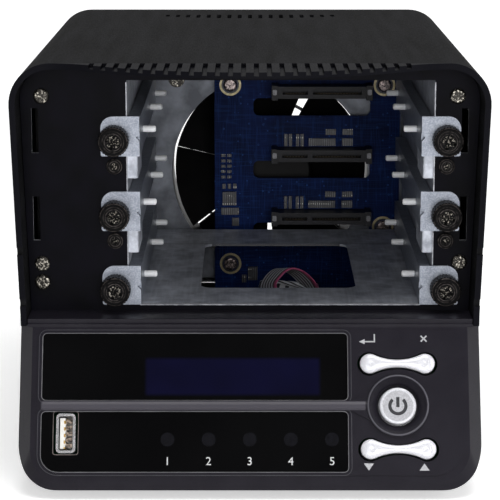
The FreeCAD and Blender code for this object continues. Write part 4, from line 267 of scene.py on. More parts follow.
def zinc_finish():
    """Zinc-coated sheet: patches of crystal, each a little lighter or darker, and painted
    reflections drawn out along the depth. The bulkhead is rougher and darkened with painted
    shade, and so is the power supply's front where the plate's slots show it; the cut-out's
    rear edge is darkened."""
    crystal = 3.0
    dark, light = tone(138, 142, 152), tone(214, 218, 228)
    look = Finish("zinc_steel", dark, light, grain=crystal * 2.5, rough=(0.3, 0.46), fine=0.35,
                  bump=0.01, metallic=0.35, contrast=(0.3, 0.7))
    crystals = look.spread(look.cells(crystal, "SMOOTH_F1"), 0.1, 0.75)
    look.over(look.both(crystals, 0.45), dark)
    # painted reflection: light noise drawn out along the depth stands in for reflections on the
    # glossy zinc
    painted_reflections = look.spread(look.noise(1.2, (1, 0.06, 1), 3.0), 0.45, 0.7)
    look.over(look.both(painted_reflections, 0.35), light)
    # painted shade: the bulkhead at the back of the bay is painted in darker, clouded tones for
    # the shade it lies in
    bulkhead = look.within(look.axis(1), BULKHEAD_Y - 0.2, BULKHEAD_Y + 1.4, 0.1)
    clouds = look.spread(look.noise(crystal * 3.0), 0.35, 0.65)
    look.over(bulkhead, look.blend(clouds, tone(84, 87, 95), tone(128, 132, 141)),
              rough=(0.4, 0.55))
    # painted shade: the power supply's front, seen through the plate's slots, is painted near
    # black for the shade behind them
    supply_face = look.both(look.spread(look.axis(0), SUPPLY_RIGHT_X, SUPPLY_RIGHT_X - 0.3),
                            look.spread(look.axis(2), SUPPLY_LOW_Z, SUPPLY_LOW_Z + 0.3))
    supply = look.within(look.axis(1), SUPPLY_FRONT_Y - 0.2, SUPPLY_FRONT_Y + 0.2)
    look.over(look.both(supply, supply_face), tone(18, 18, 21), rough=(0.5, 0.6))
    cut_edge = look.within(look.axis(1), CUTOUT_REAR_Y - 0.15, CUTOUT_REAR_Y + 0.35, 0.05)
    look.over(cut_edge, tone(62, 64, 71), rough=(0.4, 0.55), metallic=0.1)
    return look.done()


def board_finish(name, dark, light, copper):
    """Printed board: solder mask over copper lines, with plated holes."""
    look = Finish(name, dark, light, grain=14.0, rough=(0.4, 0.52), fine=0.6, bump=0.01,
                  specular=0.05)
    for stretch in ((1, 1, 0.04), (0.04, 1, 1)):
        lines = look.within(look.noise(1.1, stretch, 1.0), 0.47, 0.53, 0.015)
        look.over(look.both(lines, 0.22), copper)
    holes = look.cells(3.1)
    look.over(look.spread(holes, 0.16, 0.11), copper, rough=(0.3, 0.4))
    look.over(look.spread(holes, 0.07, 0.05), tone(8, 10, 20))
    return look.done()


def window_finish():
    """Smoked window with the display's dark blue glass showing in its middle."""
    look = Finish("window_black", tone(7, 7, 8), tone(10, 10, 11), grain=30.0,
                  rough=(0.06, 0.11), fine=2.0, bump=0.002, specular=0.05)
    x_low, x_high, top, bottom = LCD
    glass = look.both(look.within(look.axis(0), x_low, x_high, 0.7),
                      look.within(look.up_panel(), -bottom, -top, 0.7))
    clouds = look.spread(look.noise(16.0, detail=1.0), 0.3, 0.7)
    look.over(glass, look.blend(clouds, tone(12, 12, 33), tone(15, 15, 42)))
    return look.done()


def turned_finish(name, dark, light, centre_z, rings, glint_radius):
    """Blackened screws in two columns: paler ring lines broken by noise, and painted glints in the
    recess.
    """
    look = Finish(name, dark, light, grain=0.9, rough=(0.34, 0.46), fine=0.2, bump=0.012,
                  specular=0.04)
    across = look.maths("SUBTRACT", look.from_bay(), KNOB_OFFSET)
    shifted = look.maths("SUBTRACT", look.axis(2), centre_z - KNOB_PITCH / 2)
    along = look.maths("SUBTRACT", look.maths("FLOORED_MODULO", shifted, KNOB_PITCH),
                       KNOB_PITCH / 2)
    radius = look.distance(across, along)
    ring_patches = look.spread(look.noise(1.3, detail=2.0), 0.35, 0.6)
    for ring in rings:
        line = look.within(radius, ring - 0.1, ring + 0.1, 0.1)
        look.over(look.both(line, ring_patches), tone(92, 86, 84), rough=(0.2, 0.3))
    # painted glints: bright flecks near the middle stand in for highlights in the cross recess
    painted_glints = look.spread(look.noise(0.55, (1, 0.2, 1), 1.0), 0.56, 0.62)
    inside = look.spread(radius, glint_radius, glint_radius - 0.5)
    look.over(look.both(painted_glints, inside), tone(168, 162, 152), rough=(0.15, 0.25))
    return look.done()


def rail_finish():
    """Bare steel sheet, sandy at close range, with turned pins of a brighter steel."""
    look = Finish("rail_steel", tone(112, 117, 128), tone(142, 147, 158), grain=4.0,
                  rough=(0.3, 0.42), fine=0.35, bump=0.02, metallic=0.5, contrast=(0.3, 0.7))
    sand = look.spread(look.noise(0.6, detail=2.0), 0.42, 0.66)
    look.over(look.both(sand, 0.32), tone(196, 201, 212))
    pins = look.spread(look.from_bay(), RAIL_HALF_GAP - 0.1, RAIL_HALF_GAP - 0.3)
    look.over(pins, tone(250, 251, 253), rough=(0.3, 0.4), metallic=0.0)
    return look.done()


def tongue_finish():
    """White moulding with a row of gilt contacts down its face."""
    look = Finish("tongue_white", tone(222, 220, 214), tone(236, 234, 230), grain=3.0,
                  rough=(0.35, 0.45), fine=0.4, bump=0.01)
    contacts = look.within(look.phase(look.up_panel(), TONGUE_PITCH), 0.25, 0.75, 0.05)
    look.over(look.both(look.within(look.axis(0), *TONGUE_METAL_X), contacts),
              tone(196, 160, 92), rough=(0.25, 0.35), metallic=0.8)
    return look.done()


def socket_finish():
    """Bright plated shell in front, duller tinned shells at the rear."""
    look = Finish("socket_metal", tone(184, 184, 186), tone(210, 210, 212), grain=3.0,
                  rough=(0.18, 0.3), fine=0.3, bump=0.006, metallic=0.92)
    look.over(look.spread(look.axis(1), REAR_SOCKETS_Y, REAR_SOCKETS_Y + 0.2),
              tone(30, 31, 34), rough=(0.8, 0.95), metallic=0.0)
    return look.done()


def bezel_finish():
    """Satin plastic, with painted highlights on the ring round the button and on the rib between
    the windows.
    """
    look = Finish("bezel_grey", tone(29, 27, 34), tone(33, 31, 38), grain=8.0,
                  rough=(0.26, 0.34), fine=0.35, bump=0.01, specular=0.12)
    # painted highlights: a paler line on the crest of the ring round the button, and a paler band
    # along the rib
    look.over(look.within(look.from_button(), *BUTTON_RING, 0.12), tone(92, 91, 98),
              rough=(0.2, 0.3))
    rib = look.both(look.within(look.up_panel(), *RIB, 0.2),
                    look.within(look.axis(0), DISPLAY_WINDOW[0], RIB_END_X, 0.2))
    look.over(rib, tone(74, 72, 79), rough=(0.2, 0.28))
    return look.done()


def button_finish():
    """Pearl paint, with the power button's flat face in a matt silver."""
    look = Finish("button_silver", tone(212, 212, 219), tone(240, 240, 245), grain=0.25,
                  rough=(0.18, 0.28), fine=0.25, bump=0.004, metallic=0.12,
                  contrast=(0.4, 0.6))
    matt = look.blend(look.spread(look.noise(0.5), 0.4, 0.6), tone(168, 168, 173),
                      tone(192, 192, 197))
    look.over(look.spread(look.from_button(), BUTTON_FLAT, BUTTON_FLAT - 0.2), matt,
              rough=(0.35, 0.45))
    return look.done()


def chip_finish():
    """Small parts: dark bodies crossed by paler leads, here and there a bright solder joint."""
    look = Finish("chip_black", tone(20, 20, 26), tone(34, 34, 40), grain=3.0,
                  rough=(0.35, 0.5), fine=0.4, bump=0.01)
    lead = look.within(look.phase(look.axis(0), LEAD_PITCH), 0.3, 0.65, 0.1)
    patchy = look.spread(look.noise(4.0, detail=2.0), 0.4, 0.6, 0.25, 0.9)
    look.over(look.both(lead, patchy), tone(88, 90, 98), rough=(0.3, 0.4))
    row = look.within(look.phase(look.axis(2), LEAD_ROW_PITCH), 0.42, 0.56, 0.03)
    soldered = look.spread(look.noise(5.0, detail=1.0), 0.5, 0.56)
    look.over(look.both(look.both(lead, row), soldered), tone(206, 206, 202),
              rough=(0.2, 0.3))
    return look.done()


# the record's slots
looks = {
    "shell_black": shell_finish(),
    "plate_black": plate_finish(),
    # face screws: the bright flecks of the colour noise are painted glints on the dark heads
    "screw_silver": finish(
        "screw_silver", tone(36, 34, 31), tone(190, 184, 172), grain=0.8, rough=(0.22, 0.36),
        fine=0.25, bump=0.03, metallic=0.8, contrast=(0.52, 0.68)),
    "screw_black": turned_finish(
        "screw_black", tone(10, 9, 10), tone(20, 19, 19), KNOB_ZS[2] - CAGE_SCREW_DROP,
        rings=(2.7, 1.9), glint_radius=1.4),
    "zinc_steel": zinc_finish(),
    "rail_steel": rail_finish(),
    "knob_black": turned_finish(
        "knob_black", tone(7, 7, 8), tone(16, 15, 16), KNOB_ZS[2],
        rings=(5.1, 3.9, 3.1), glint_radius=2.5),
    "board_blue": board_finish("board_blue", tone(3, 16, 52), tone(9, 27, 74), tone(28, 64, 124)),
    "connector_black": finish(
        "connector_black", tone(9, 9, 14), tone(18, 18, 26), grain=4.0, rough=(0.35, 0.5),
        fine=0.3, specular=0.2),
    "chip_black": chip_finish(),
    # brass screws: the bright flecks of the colour noise are painted glints
    "brass_screw": finish(
        "brass_screw", tone(62, 56, 56), tone(176, 160, 156), grain=1.0, rough=(0.24, 0.36),
        fine=0.25, bump=0.02, metallic=0.6, contrast=(0.45, 0.64)),
    "fan_black": finish(
        "fan_black", tone(9, 9, 10), tone(15, 14, 15), grain=7.0, rough=(0.36, 0.5),
        bump=0.012, specular=0.1),
    "guard_steel": finish(
        "guard_steel", tone(186, 188, 192), tone(214, 216, 220), grain=3.0, rough=(0.14, 0.24),
        fine=0.3, bump=0.004, metallic=0.95),
    "bezel_grey": bezel_finish(),
    "window_black": window_finish(),
    "module_dark": finish(
        "module_dark", tone(10, 12, 40), tone(14, 15, 50), grain=10.0, rough=(0.2, 0.3),
        fine=0.6, bump=0.004),
    "light_pipe": finish(
        "light_pipe", tone(70, 70, 74), tone(84, 84, 88), grain=2.0, rough=(0.15, 0.25),
        bump=0.003),
    "board_green": board_finish(
        "board_green", tone(8, 52, 30), tone(14, 68, 40), tone(46, 110, 70)),
    "button_silver": button_finish(),
    "socket_metal": socket_finish(),
    "tongue_white": tongue_finish(),
    "foot_rubber": finish(
        "foot_rubber", tone(20, 20, 20), tone(28, 28, 28), grain=4.0, rough=(0.65, 0.8),
        fine=0.3, bump=0.03, specular=0.3),
    "heatsink_alu": finish(
        "heatsink_alu", tone(136, 138, 142), tone(160, 162, 166), grain=4.0,
        stretch=(1, 0.1, 1), rough=(0.3, 0.42), fine=0.3, bump=0.008, metallic=0.85),
    "ribbon_grey": finish(
        "ribbon_grey", tone(236, 238, 246), tone(246, 248, 254), grain=2.0, rough=(0.35, 0.5),
        fine=0.4, bump=0.02, specular=0.4),
    "plug_grey": finish(
        "plug_grey", tone(42, 42, 44), tone(56, 56, 58), grain=3.0, fine=0.3, bump=0.012),
    "jack_plastic": finish(
        "jack_plastic", tone(30, 30, 32), tone(42, 42, 44), grain=3.0, rough=(0.3, 0.4),
        fine=0.4),
}

# finishes of the detail that only this scene has
RING_IVORY = finish("ring_ivory", tone(138, 126, 92), tone(172, 160, 126), grain=1.4,
                    rough=(0.3, 0.42), fine=0.25, metallic=0.35)
RING_DARK = finish("ring_dark", tone(12, 13, 20), tone(24, 24, 34), grain=1.0,
                   rough=(0.35, 0.5), fine=0.25)
PRINT_GREY = finish("print_grey", tone(168, 168, 172), tone(184, 184, 188), grain=1.0,
                    fine=0.3, bump=0.003)
PRINT_WHITE = finish("print_white", tone(196, 196, 198), tone(214, 214, 216), grain=1.0,
                     fine=0.3, bump=0.003)
PRINT_DARK = finish("print_dark", tone(30, 30, 35), tone(40, 40, 45), grain=1.0,
                    fine=0.3, bump=0.003)
LINE_GREY = finish("line_grey", tone(52, 52, 58), tone(66, 66, 72),
                   rough=(0.3, 0.4), fine=0.3, bump=0.004)
# painted highlight: the light that the windows' edges catch
PAINTED_EDGE_HIGHLIGHT = finish("painted_edge_highlight", tone(108, 108, 112), tone(130, 130, 134), grain=9.0,
                     rough=(0.3, 0.4), fine=0.3, bump=0.004)
LED_SMOKE = finish("led_smoke", tone(12, 12, 16), tone(18, 18, 23), grain=1.6,
                   rough=(0.25, 0.35), fine=0.3, bump=0.004, specular=0.06)
FRAME_BROWN = finish("frame_brown", tone(92, 86, 84), tone(116, 108, 104), grain=3.0,
                     rough=(0.3, 0.4), fine=0.3, bump=0.004)
SPRING_BROWN = finish("spring_brown", tone(58, 48, 44), tone(176, 158, 142), grain=1.0,
                      rough=(0.25, 0.35), fine=0.25, bump=0.02, metallic=0.3,
                      contrast=(0.42, 0.6))
EDGE_STEEL = finish("edge_steel", tone(112, 114, 120), tone(160, 162, 168), grain=2.0,
                    rough=(0.25, 0.4), fine=0.3, bump=0.006, metallic=0.6)
# painted shade in the creases between the conductors: the cable's plastic, darkened
WIRE_GROOVE_SHADE = finish("wire_groove_shade", tone(64, 64, 72), tone(84, 84, 92), grain=2.0,
                     rough=(0.4, 0.55), fine=0.4, bump=0.02, specular=0.2)
WIRE_PINK = finish("wire_pink", tone(206, 92, 140), tone(228, 120, 162), grain=2.0,
                   rough=(0.35, 0.5), fine=0.4, bump=0.02, specular=0.4)
TIP_GREY = finish("tip_grey", tone(84, 84, 88), tone(112, 112, 116), grain=1.0,
                  rough=(0.35, 0.45), fine=0.25, metallic=0.3)
# gilt contacts darkened by painted shade, for the depth of the connector mouths they sit in
CONTACT_GOLD_IN_SHADE = finish("contact_gold_in_shade", tone(46, 40, 30), tone(70, 60, 44), grain=0.8,
                      rough=(0.2, 0.3), fine=0.2, bump=0.004, metallic=0.85)

for entry in frame["record"]["subparts"]:
    mesh = frame["nodes"][entry["node"]].data
    mesh.materials.clear()
    mesh.materials.append(looks[entry["material_slot"]])


# ---- mesh pieces --------------------------------------------------------------------------------
def mount(name, mesh, body="chassis"):
    """Shows a mesh as a piece of the visual model, riding on a body."""
    thing = bpy.data.objects.new(name, mesh)
    bpy.context.scene.collection.objects.link(thing)
    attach(thing, body)
    return thing


def piece(name, points, faces, place, material, body="chassis", smooth=False):
    """Mesh piece from points in millimetres in the given frame."""
    mesh = bpy.data.meshes.new(name)
    mesh.from_pydata([place @ (Vector(point) * MM) for point in points], [], faces)
    mesh.validate()
    mesh.polygons.foreach_set("use_smooth", [smooth] * len(mesh.polygons))
    mesh.materials.append(material)
    return mount(name, mesh, body)


class Shapes:
    """Prisms and bands gathered into one mesh, drawn on the plane of a frame."""

    def __init__(self):
        self.points = []
        self.faces = []

    def prism(self, outline, low, high):
        start = len(self.points)
        count = len(outline)
        for level in (low, high):
            self.points += [(x, y, level) for x, y in outline]
        self.faces.append([start + count + index for index in range(count)])
        self.faces.append([start + index for index in reversed(range(count))])
        for index in range(count):
            here, after = start + index, start + (index + 1) % count
            self.faces.append([here, after, after + count, here + count])

    def band(self, outer, inner, low, high, closed=True):
        """Flat strip between two outlines of equal length."""
        start = len(self.points)
        count = len(outer)
        for outline, level in ((outer, low), (inner, low), (outer, high), (inner, high)):
            self.points += [(x, y, level) for x, y in outline]
        for index in range(count if closed else count - 1):
            here, after = start + index, start + (index + 1) % count
            self.faces.append([here + 2 * count, after + 2 * count,
                               after + 3 * count, here + 3 * count])
            self.faces.append([here, here + count, after + count, after])
            self.faces.append([here, after, after + 2 * count, here + 2 * count])
            self.faces.append([here + count, here + 3 * count,
                               after + 3 * count, after + count])
        if not closed:
            for here in (start, start + count - 1):
                self.faces.append([here, here + count, here + 3 * count, here + 2 * count])

    def piece(self, name, place, material, slot, body="chassis"):
        piece(name, self.points, self.faces, place, material, body)


def around(x, y, radius, angles):
    return [(x + radius * math.cos(angle), y + radius * math.sin(angle)) for angle in angles]


def circle(x, y, radius, count=48):
    return around(x, y, radius, [2 * math.pi * step / count for step in range(count)])


def rounded(x_low, x_high, y_low, y_high, radii, inset=0.0, steps=8):
    """Corner-rounded outline from the lower left, anticlockwise, drawn in by the inset."""
    if not isinstance(radii, tuple):
        radii = (radii,) * 4
    outline = []
    corners = ((x_low, y_low, 180), (x_high, y_low, 270), (x_high, y_high, 0), (x_low, y_high, 90))
    for (x, y, start), radius in zip(corners, radii):
        centre_x = x + radius if x == x_low else x - radius
        centre_y = y + radius if y == y_low else y - radius
        angles = [math.radians(start + 90 * step / steps) for step in range(steps + 1)]
        outline += around(centre_x, centre_y, radius - inset, angles)
    return outline


# lines and bare edges lie this far under and over the face that they mark
LINE_LEVELS = (-0.02, 0.05)
CUT_EDGE_LEVELS = (-0.02, 0.06)
# the panel's face lies this high above the windows
FIELD_LEVEL = 0.3

# thin painted highlight along the edge of each window, and a fainter frame line just outside it
EDGE_INSETS = (0.02, 0.24)
FRAME_INSETS = (-1.15, -0.95)
window_edge_highlights = Shapes()
window_frames = Shapes()
for (x_low, x_high, top, bottom), low_left in ((DISPLAY_WINDOW, WINDOW_RADIUS),
                                               (STATUS_WINDOW, STATUS_RADIUS)):
    radii = (low_left, WINDOW_RADIUS, WINDOW_RADIUS, WINDOW_RADIUS)
    for lines, insets, levels in (
            (window_edge_highlights, EDGE_INSETS, LINE_LEVELS),
            (window_frames, FRAME_INSETS, (FIELD_LEVEL - 0.02, FIELD_LEVEL + 0.02))):
        lines.band(*(rounded(x_low, x_high, -bottom, -top, radii, inset) for inset in insets),
                   *levels)
window_edge_highlights.piece("window_edge_highlights", PANEL, PAINTED_EDGE_HIGHLIGHT, "bezel_grey")
window_frames.piece("window_frames", PANEL, LINE_GREY, "bezel_grey")

# status lights and the numbers below them
lights = Shapes()
for x in LED_XS:
    lights.prism(circle(x, -LED_DOWN, LED_RADIUS), -0.02, 0.02)
lights.piece("status_lights", PANEL, LED_SMOKE, "light_pipe")

NUMBER_DOWN = 49.2
NUMBER_SIZE = 4.2
NUMBER_HALF_THICKNESS = 0.01


def number(text, x):
    """Raised print of a plain numeral on the panel."""
    curve = bpy.data.curves.new("numeral_" + text, "FONT")
    curve.body = text
    curve.size = NUMBER_SIZE * MM
    curve.align_x = "CENTER"
    curve.align_y = "CENTER"
    curve.extrude = NUMBER_HALF_THICKNESS * MM
    shape = bpy.data.objects.new("numeral_shape_" + text, curve)
    mesh = bpy.data.meshes.new_from_object(shape)
    bpy.data.objects.remove(shape)
    bpy.data.curves.remove(curve)
    middle = Vector((x, -NUMBER_DOWN, NUMBER_HALF_THICKNESS)) * MM
    mesh.transform(PANEL @ Matrix.Translation(middle))
    mesh.materials.clear()
    mesh.materials.append(PRINT_WHITE)
    mount("status_number_" + text, mesh)


for index, x in enumerate(LED_XS, 1):
    number(str(index), x)

# power symbol on the button: an open ring and a bar in its gap
SYMBOL_RADII = (3.5, 2.3)
SYMBOL_BAR_HALF = 0.6
SYMBOL_BAR_LOW, SYMBOL_BAR_TOP = -0.5, 3.2
GAP_ANGLE = 40
ARC_STEPS = 40
SYMBOL_LEVELS = (BUTTON_FACE - 0.02, BUTTON_FACE + 0.02)
middle_x, middle_down = BUTTON
symbol = Shapes()
arc = [math.radians(90 + GAP_ANGLE + (360 - 2 * GAP_ANGLE) * step / ARC_STEPS)
       for step in range(ARC_STEPS + 1)]
symbol.band(*(around(middle_x, -middle_down, radius, arc) for radius in SYMBOL_RADII),
            *SYMBOL_LEVELS, closed=False)
symbol.prism(rounded(middle_x - SYMBOL_BAR_HALF, middle_x + SYMBOL_BAR_HALF,
                     -middle_down + SYMBOL_BAR_LOW, -middle_down + SYMBOL_BAR_TOP,
                     0.12, steps=3), *SYMBOL_LEVELS)
symbol.piece("power_symbol", PANEL, PRINT_DARK, "plug_grey", body="power_button")

# printed marks by the rocker keys: a bent arrow, two triangles and a cross
MARK_LEVELS = (0.29, 0.33)
BENT_ARROW = (((39.7, -5.4), (41.8, -6.35), (41.8, -4.45)),
              ((41.7, -5.65), (45.6, -5.65), (45.6, -5.15), (41.7, -5.15)),
              ((45.1, -5.17), (45.6, -5.17), (45.6, -2.6), (45.1, -2.6)))
TRIANGLES = (((41.0, -49.9), (42.8, -52.5), (44.6, -49.9)),
             ((61.0, -52.5), (64.6, -52.5), (62.8, -49.9)))
CROSS_MIDDLE = Vector((63.3, -4.3))
CROSS_HALF_LENGTH, CROSS_HALF_WIDTH = 1.5, 0.25
marks = Shapes()
for outline in BENT_ARROW + TRIANGLES:
    marks.prism(outline, *MARK_LEVELS)
for turn in (45, 135):
    lean = math.radians(turn)
    along = Vector((math.cos(lean), math.sin(lean)))
    across = Vector((-along.y, along.x))
    corners = [CROSS_MIDDLE + along * (CROSS_HALF_LENGTH * first)
               + across * (CROSS_HALF_WIDTH * second)
               for first, second in ((-1, -1), (1, -1), (1, 1), (-1, 1))]
    marks.prism([tuple(corner) for corner in corners], *MARK_LEVELS)
marks.piece("key_marks", PANEL, PRINT_GREY, "plug_grey")

# rocker keys: bone-shaped caps with crowned tops and a dimple in each lobe
ROCKER_SPAN, ROCKER_LOBE, ROCKER_WAIST = 10.0, 3.6, 1.42
ROCKER_EDGE, ROCKER_CROWN, ROCKER_FOOT = 0.15, 1.5, -4.2
WAIST_CROWN = 0.72          # share of the crown's height left where the key is thinnest
DIMPLE_DEPTH, DIMPLE_IN, DIMPLE_DOWN, DIMPLE_SPREAD = 0.3, 0.3, 0.2, 1.3
ROCKER_COLUMNS, ROCKER_ROWS = 96, 20


def rocker_half_height(x):
    """Half the height of the key's outline at a distance from its middle."""
    hollow = ((ROCKER_SPAN ** 2 + ROCKER_WAIST ** 2 - ROCKER_LOBE ** 2)
              / (2 * (ROCKER_LOBE - ROCKER_WAIST)))
    touch = ROCKER_SPAN * hollow / (hollow + ROCKER_LOBE)
    if abs(x) < touch:
        return hollow + ROCKER_WAIST - math.sqrt(hollow ** 2 - x ** 2)
    return math.sqrt(max(ROCKER_LOBE ** 2 - (abs(x) - ROCKER_SPAN) ** 2, 0.0))


def rocker_rise(x, y):
    """Height of the key's top above the panel."""
    half = rocker_half_height(x)
    outward = abs(x) - ROCKER_SPAN
    share = math.hypot(outward, y) / ROCKER_LOBE if outward > 0 else abs(y) / half
    crown = ROCKER_CROWN * (WAIST_CROWN + (1 - WAIST_CROWN) * half / ROCKER_LOBE)
    dimple = DIMPLE_DEPTH * math.exp(-((outward + DIMPLE_IN) ** 2 + (y + DIMPLE_DOWN) ** 2)
                                     / DIMPLE_SPREAD)
    return ROCKER_EDGE + crown * max(1 - share ** 2, 0.0) ** 0.5 - dimple


def rocker_cap(name, down):
    """Key's cap: a crowned top in columns between two tips, walls down to a flat foot."""
    reach = ROCKER_SPAN + ROCKER_LOBE
    points = []
    for column in range(1, ROCKER_COLUMNS):
        x = -reach * math.cos(math.pi * column / ROCKER_COLUMNS)
        half = rocker_half_height(x)
        for row in range(ROCKER_ROWS + 1):
            y = -half * math.cos(math.pi * row / ROCKER_ROWS)
            points.append((BUTTON[0] + x, y - down, rocker_rise(x, y)))
    left_tip = len(points)
    right_tip = left_tip + 1
    points += [(BUTTON[0] + side * reach, -down, ROCKER_EDGE) for side in (-1, 1)]
    span = ROCKER_ROWS + 1
    starts = [column * span for column in range(ROCKER_COLUMNS - 1)]
    faces = []
    for start in starts[:-1]:
        for here in range(start, start + ROCKER_ROWS):
            faces.append([here, here + span, here + span + 1, here + 1])
    for row in range(ROCKER_ROWS):
        faces.append([left_tip, row, row + 1])
        faces.append([right_tip, starts[-1] + row + 1, starts[-1] + row])
    rim = starts + [right_tip] + [start + ROCKER_ROWS for start in reversed(starts)] + [left_tip]
    foot = len(points)
    points += [(points[index][0], points[index][1], ROCKER_FOOT) for index in rim]
    for index, (here, after) in enumerate(zip(rim, rim[1:] + rim[:1])):
        faces.append([here, foot + index, foot + (index + 1) % len(rim), after])
    faces.append([foot + index for index in reversed(range(len(rim)))])
    cap = piece(name + "_cap", points, faces, PANEL, looks["button_silver"],
                body=name, smooth=True)
    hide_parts(name)


rocker_cap("menu_rocker_upper", 13.45)
rocker_cap("menu_rocker_lower", 44.75)

# thin frame round the front socket's recess, and the contact springs in its mouth
USB_X, USB_UP = -66.6, -38.9
RECESS_HALF_WIDTH, RECESS_HALF_HEIGHT, RECESS_RADIUS = 4.65, 7.95, 1.0
RECESS_LINE = 0.22
SPRING_PLACES = (-4.4, -2.2, 0.0, 2.2, 4.4)
SPRING_HALF_WIDTH = 0.75
SPRING_THICKNESS = 0.3
SPRING_STEPS = ((-0.05, 0.75, -2.4), (0.85, 1.45, -1.9), (1.55, 2.3, -1.5))
socket_frame = Shapes()
socket_frame.band(*(rounded(USB_X - RECESS_HALF_WIDTH, USB_X + RECESS_HALF_WIDTH,
                            USB_UP - RECESS_HALF_HEIGHT, USB_UP + RECESS_HALF_HEIGHT,
                            RECESS_RADIUS, inset) for inset in (0.0, RECESS_LINE)),
                  *LINE_LEVELS)
socket_frame.piece("socket_frame", PANEL, FRAME_BROWN, "bezel_grey")
springs = Shapes()
for place in SPRING_PLACES:
    for start, end, level in SPRING_STEPS:
        springs.prism(rounded(USB_X + start, USB_X + end, USB_UP + place - SPRING_HALF_WIDTH,
                              USB_UP + place + SPRING_HALF_WIDTH, 0.2, steps=3),
                      level - SPRING_THICKNESS, level)
springs.piece("socket_springs", PANEL, SPRING_BROWN, "socket_metal")

# bare edge of the front plate along both sides and the foot of the bay
EDGE_HALF = 0.19
SIDE_EDGE_ZS = (64.2, 146.2)
FOOT_EDGE_HALF_LENGTH = 52.0
FOOT_EDGE_ZS = (62.86, 63.26)
edges = Shapes()
for side in (-1, 1):
    x = BAY_X + side * (BAY_HALF_WIDTH + EDGE_HALF)
    edges.prism(rounded(x - EDGE_HALF, x + EDGE_HALF, *SIDE_EDGE_ZS, 0.1, steps=2),
                *CUT_EDGE_LEVELS)
edges.prism(rounded(BAY_X - FOOT_EDGE_HALF_LENGTH, BAY_X + FOOT_EDGE_HALF_LENGTH, *FOOT_EDGE_ZS,
                    0.1, steps=2), *CUT_EDGE_LEVELS)
edges.piece("bay_edges", FRONT_PLATE, EDGE_STEEL, "rail_steel")

# plated rings round the backplane's screws
for name, outer, inner, level, material, slot in (
        ("screw_rings", 4.8, 3.85, 0.05, RING_IVORY, "brass_screw"),
        ("screw_ring_gaps", 3.9, 3.15, 0.04, RING_DARK, "board_blue")):
    rings = Shapes()
    for x, z in BACKPLANE_SCREWS:
        rings.band(circle(x, z, outer), circle(x, z, inner), -0.02, level)
    rings.piece(name, BOARD, material, slot)

# contacts in both mouths of each drive connector, and the bright tips of its ears
CONNECTOR_FRONT = BACKPLANE_Y - SATA_FACE_Y
FIRST_CONTACT = 1.6
CONTACT_HALF_WIDTH = 0.25
CONTACT_LOW, CONTACT_TOP = -0.85, -0.5
CONTACT_LEVELS = (CONNECTOR_FRONT - 5.5, CONNECTOR_FRONT - 2.5)
TIP_HALF_WIDTH = 0.9
TIP_LOW, TIP_TOP = -0.9, 1.5
TIP_LEVELS = (CONNECTOR_FRONT + 1.18, CONNECTOR_FRONT + 1.24)
contacts = Shapes()
tips = Shapes()
for knob_z in KNOB_ZS:
    z = knob_z - SATA_DROP
    left = SATA_X - SATA_WIDTH / 2 + SATA_EAR
    space = (SATA_WIDTH - 2 * SATA_EAR - sum(SATA_MOUTHS)) / 3
    starts = (left + space, left + 2 * space + SATA_MOUTHS[0])
    for start, count in zip(starts, SATA_CONTACTS):
        for index in range(count):
            x = start + FIRST_CONTACT + SATA_CONTACT_PITCH * index
            contacts.prism(rounded(x - CONTACT_HALF_WIDTH, x + CONTACT_HALF_WIDTH,
                                   z + CONTACT_LOW, z + CONTACT_TOP, 0.08, steps=2),
                           *CONTACT_LEVELS)
    for side in (-1, 1):
        x = SATA_X + side * (SATA_WIDTH - SATA_EAR) / 2
        tips.prism(rounded(x - TIP_HALF_WIDTH, x + TIP_HALF_WIDTH, z + TIP_LOW, z + TIP_TOP,
                           0.5, steps=3), *TIP_LEVELS)
contacts.piece("drive_contacts", BOARD, CONTACT_GOLD_IN_SHADE, "brass_screw")
tips.piece("connector_tips", BOARD, TIP_GREY, "screw_silver")

# flat cable: round conductors side by side, from the mainboard's plug in a leaning arch that shows
# in the floor's cut-out, then round to the backplane's plug; the first conductor is pink, and
# painted shade darkens the creases between the conductors
CONDUCTORS = 6
SAMPLES = 5                 # strips across each conductor
RIBBON_STEPS = 7            # steps between two guide points
RIBBON_HALF = 0.45
NEAR_X, FAR_X = 29.4, 4.0
# y and z of the guides at either plug, and of the places that pull the arch's ends towards them
MAINBOARD_PLUG = ((42.7, 21.1), (42.9, 25.0))
BACKPLANE_PLUG = ((73.4, 37.0), (73.7, 31.5))
MAINBOARD_PULL = (42.7, 30.0)
BACKPLANE_PULL = (71.0, 40.0)
# near edge of the arch, and how far the far edge leans away from it
NEAR_ARCH = ((13.0, 46.0, 35.0), (11.6, 47.0, 41.5), (13.9, 47.0, 47.0), (18.1, 47.0, 50.0),
             (23.2, 47.0, 48.8), (27.4, 47.2, 45.0), (29.6, 49.5, 41.0), (30.0, 57.0, 39.5))
LEAN = Vector((-7.0, 23.6, -5.5))


def ribbon_route(share):
    """Guide points of the line at a share of the cable's width, from the near edge to the far."""
    x = NEAR_X + (FAR_X - NEAR_X) * share
    arch = [Vector(point) + LEAN * share for point in NEAR_ARCH]
    arch[0] = arch[0].lerp(Vector((x, *MAINBOARD_PULL)), 0.45)
    arch[-1] = arch[-1].lerp(Vector((x, *BACKPLANE_PULL)), 0.35 + 0.5 * share)
    start, end = ([Vector((x, *place)) for place in plug]
                  for plug in (MAINBOARD_PLUG, BACKPLANE_PLUG))
    return start + arch + end


def smooth_line(guides, steps):
    """Catmull-Rom curve through the guide points."""
    padded = [guides[0] * 2 - guides[1]] + guides + [guides[-1] * 2 - guides[-2]]
    line = []
    for index in range(1, len(padded) - 2):
        before, start, end, after = padded[index - 1:index + 3]
        for step in range(steps):
            t = step / steps
            line.append(0.5 * (2 * start + (end - before) * t
                               + (2 * before - 5 * start + 4 * end - after) * t ** 2
                               + (3 * start - before - 3 * end + after) * t ** 3))
    return line + [guides[-1]]


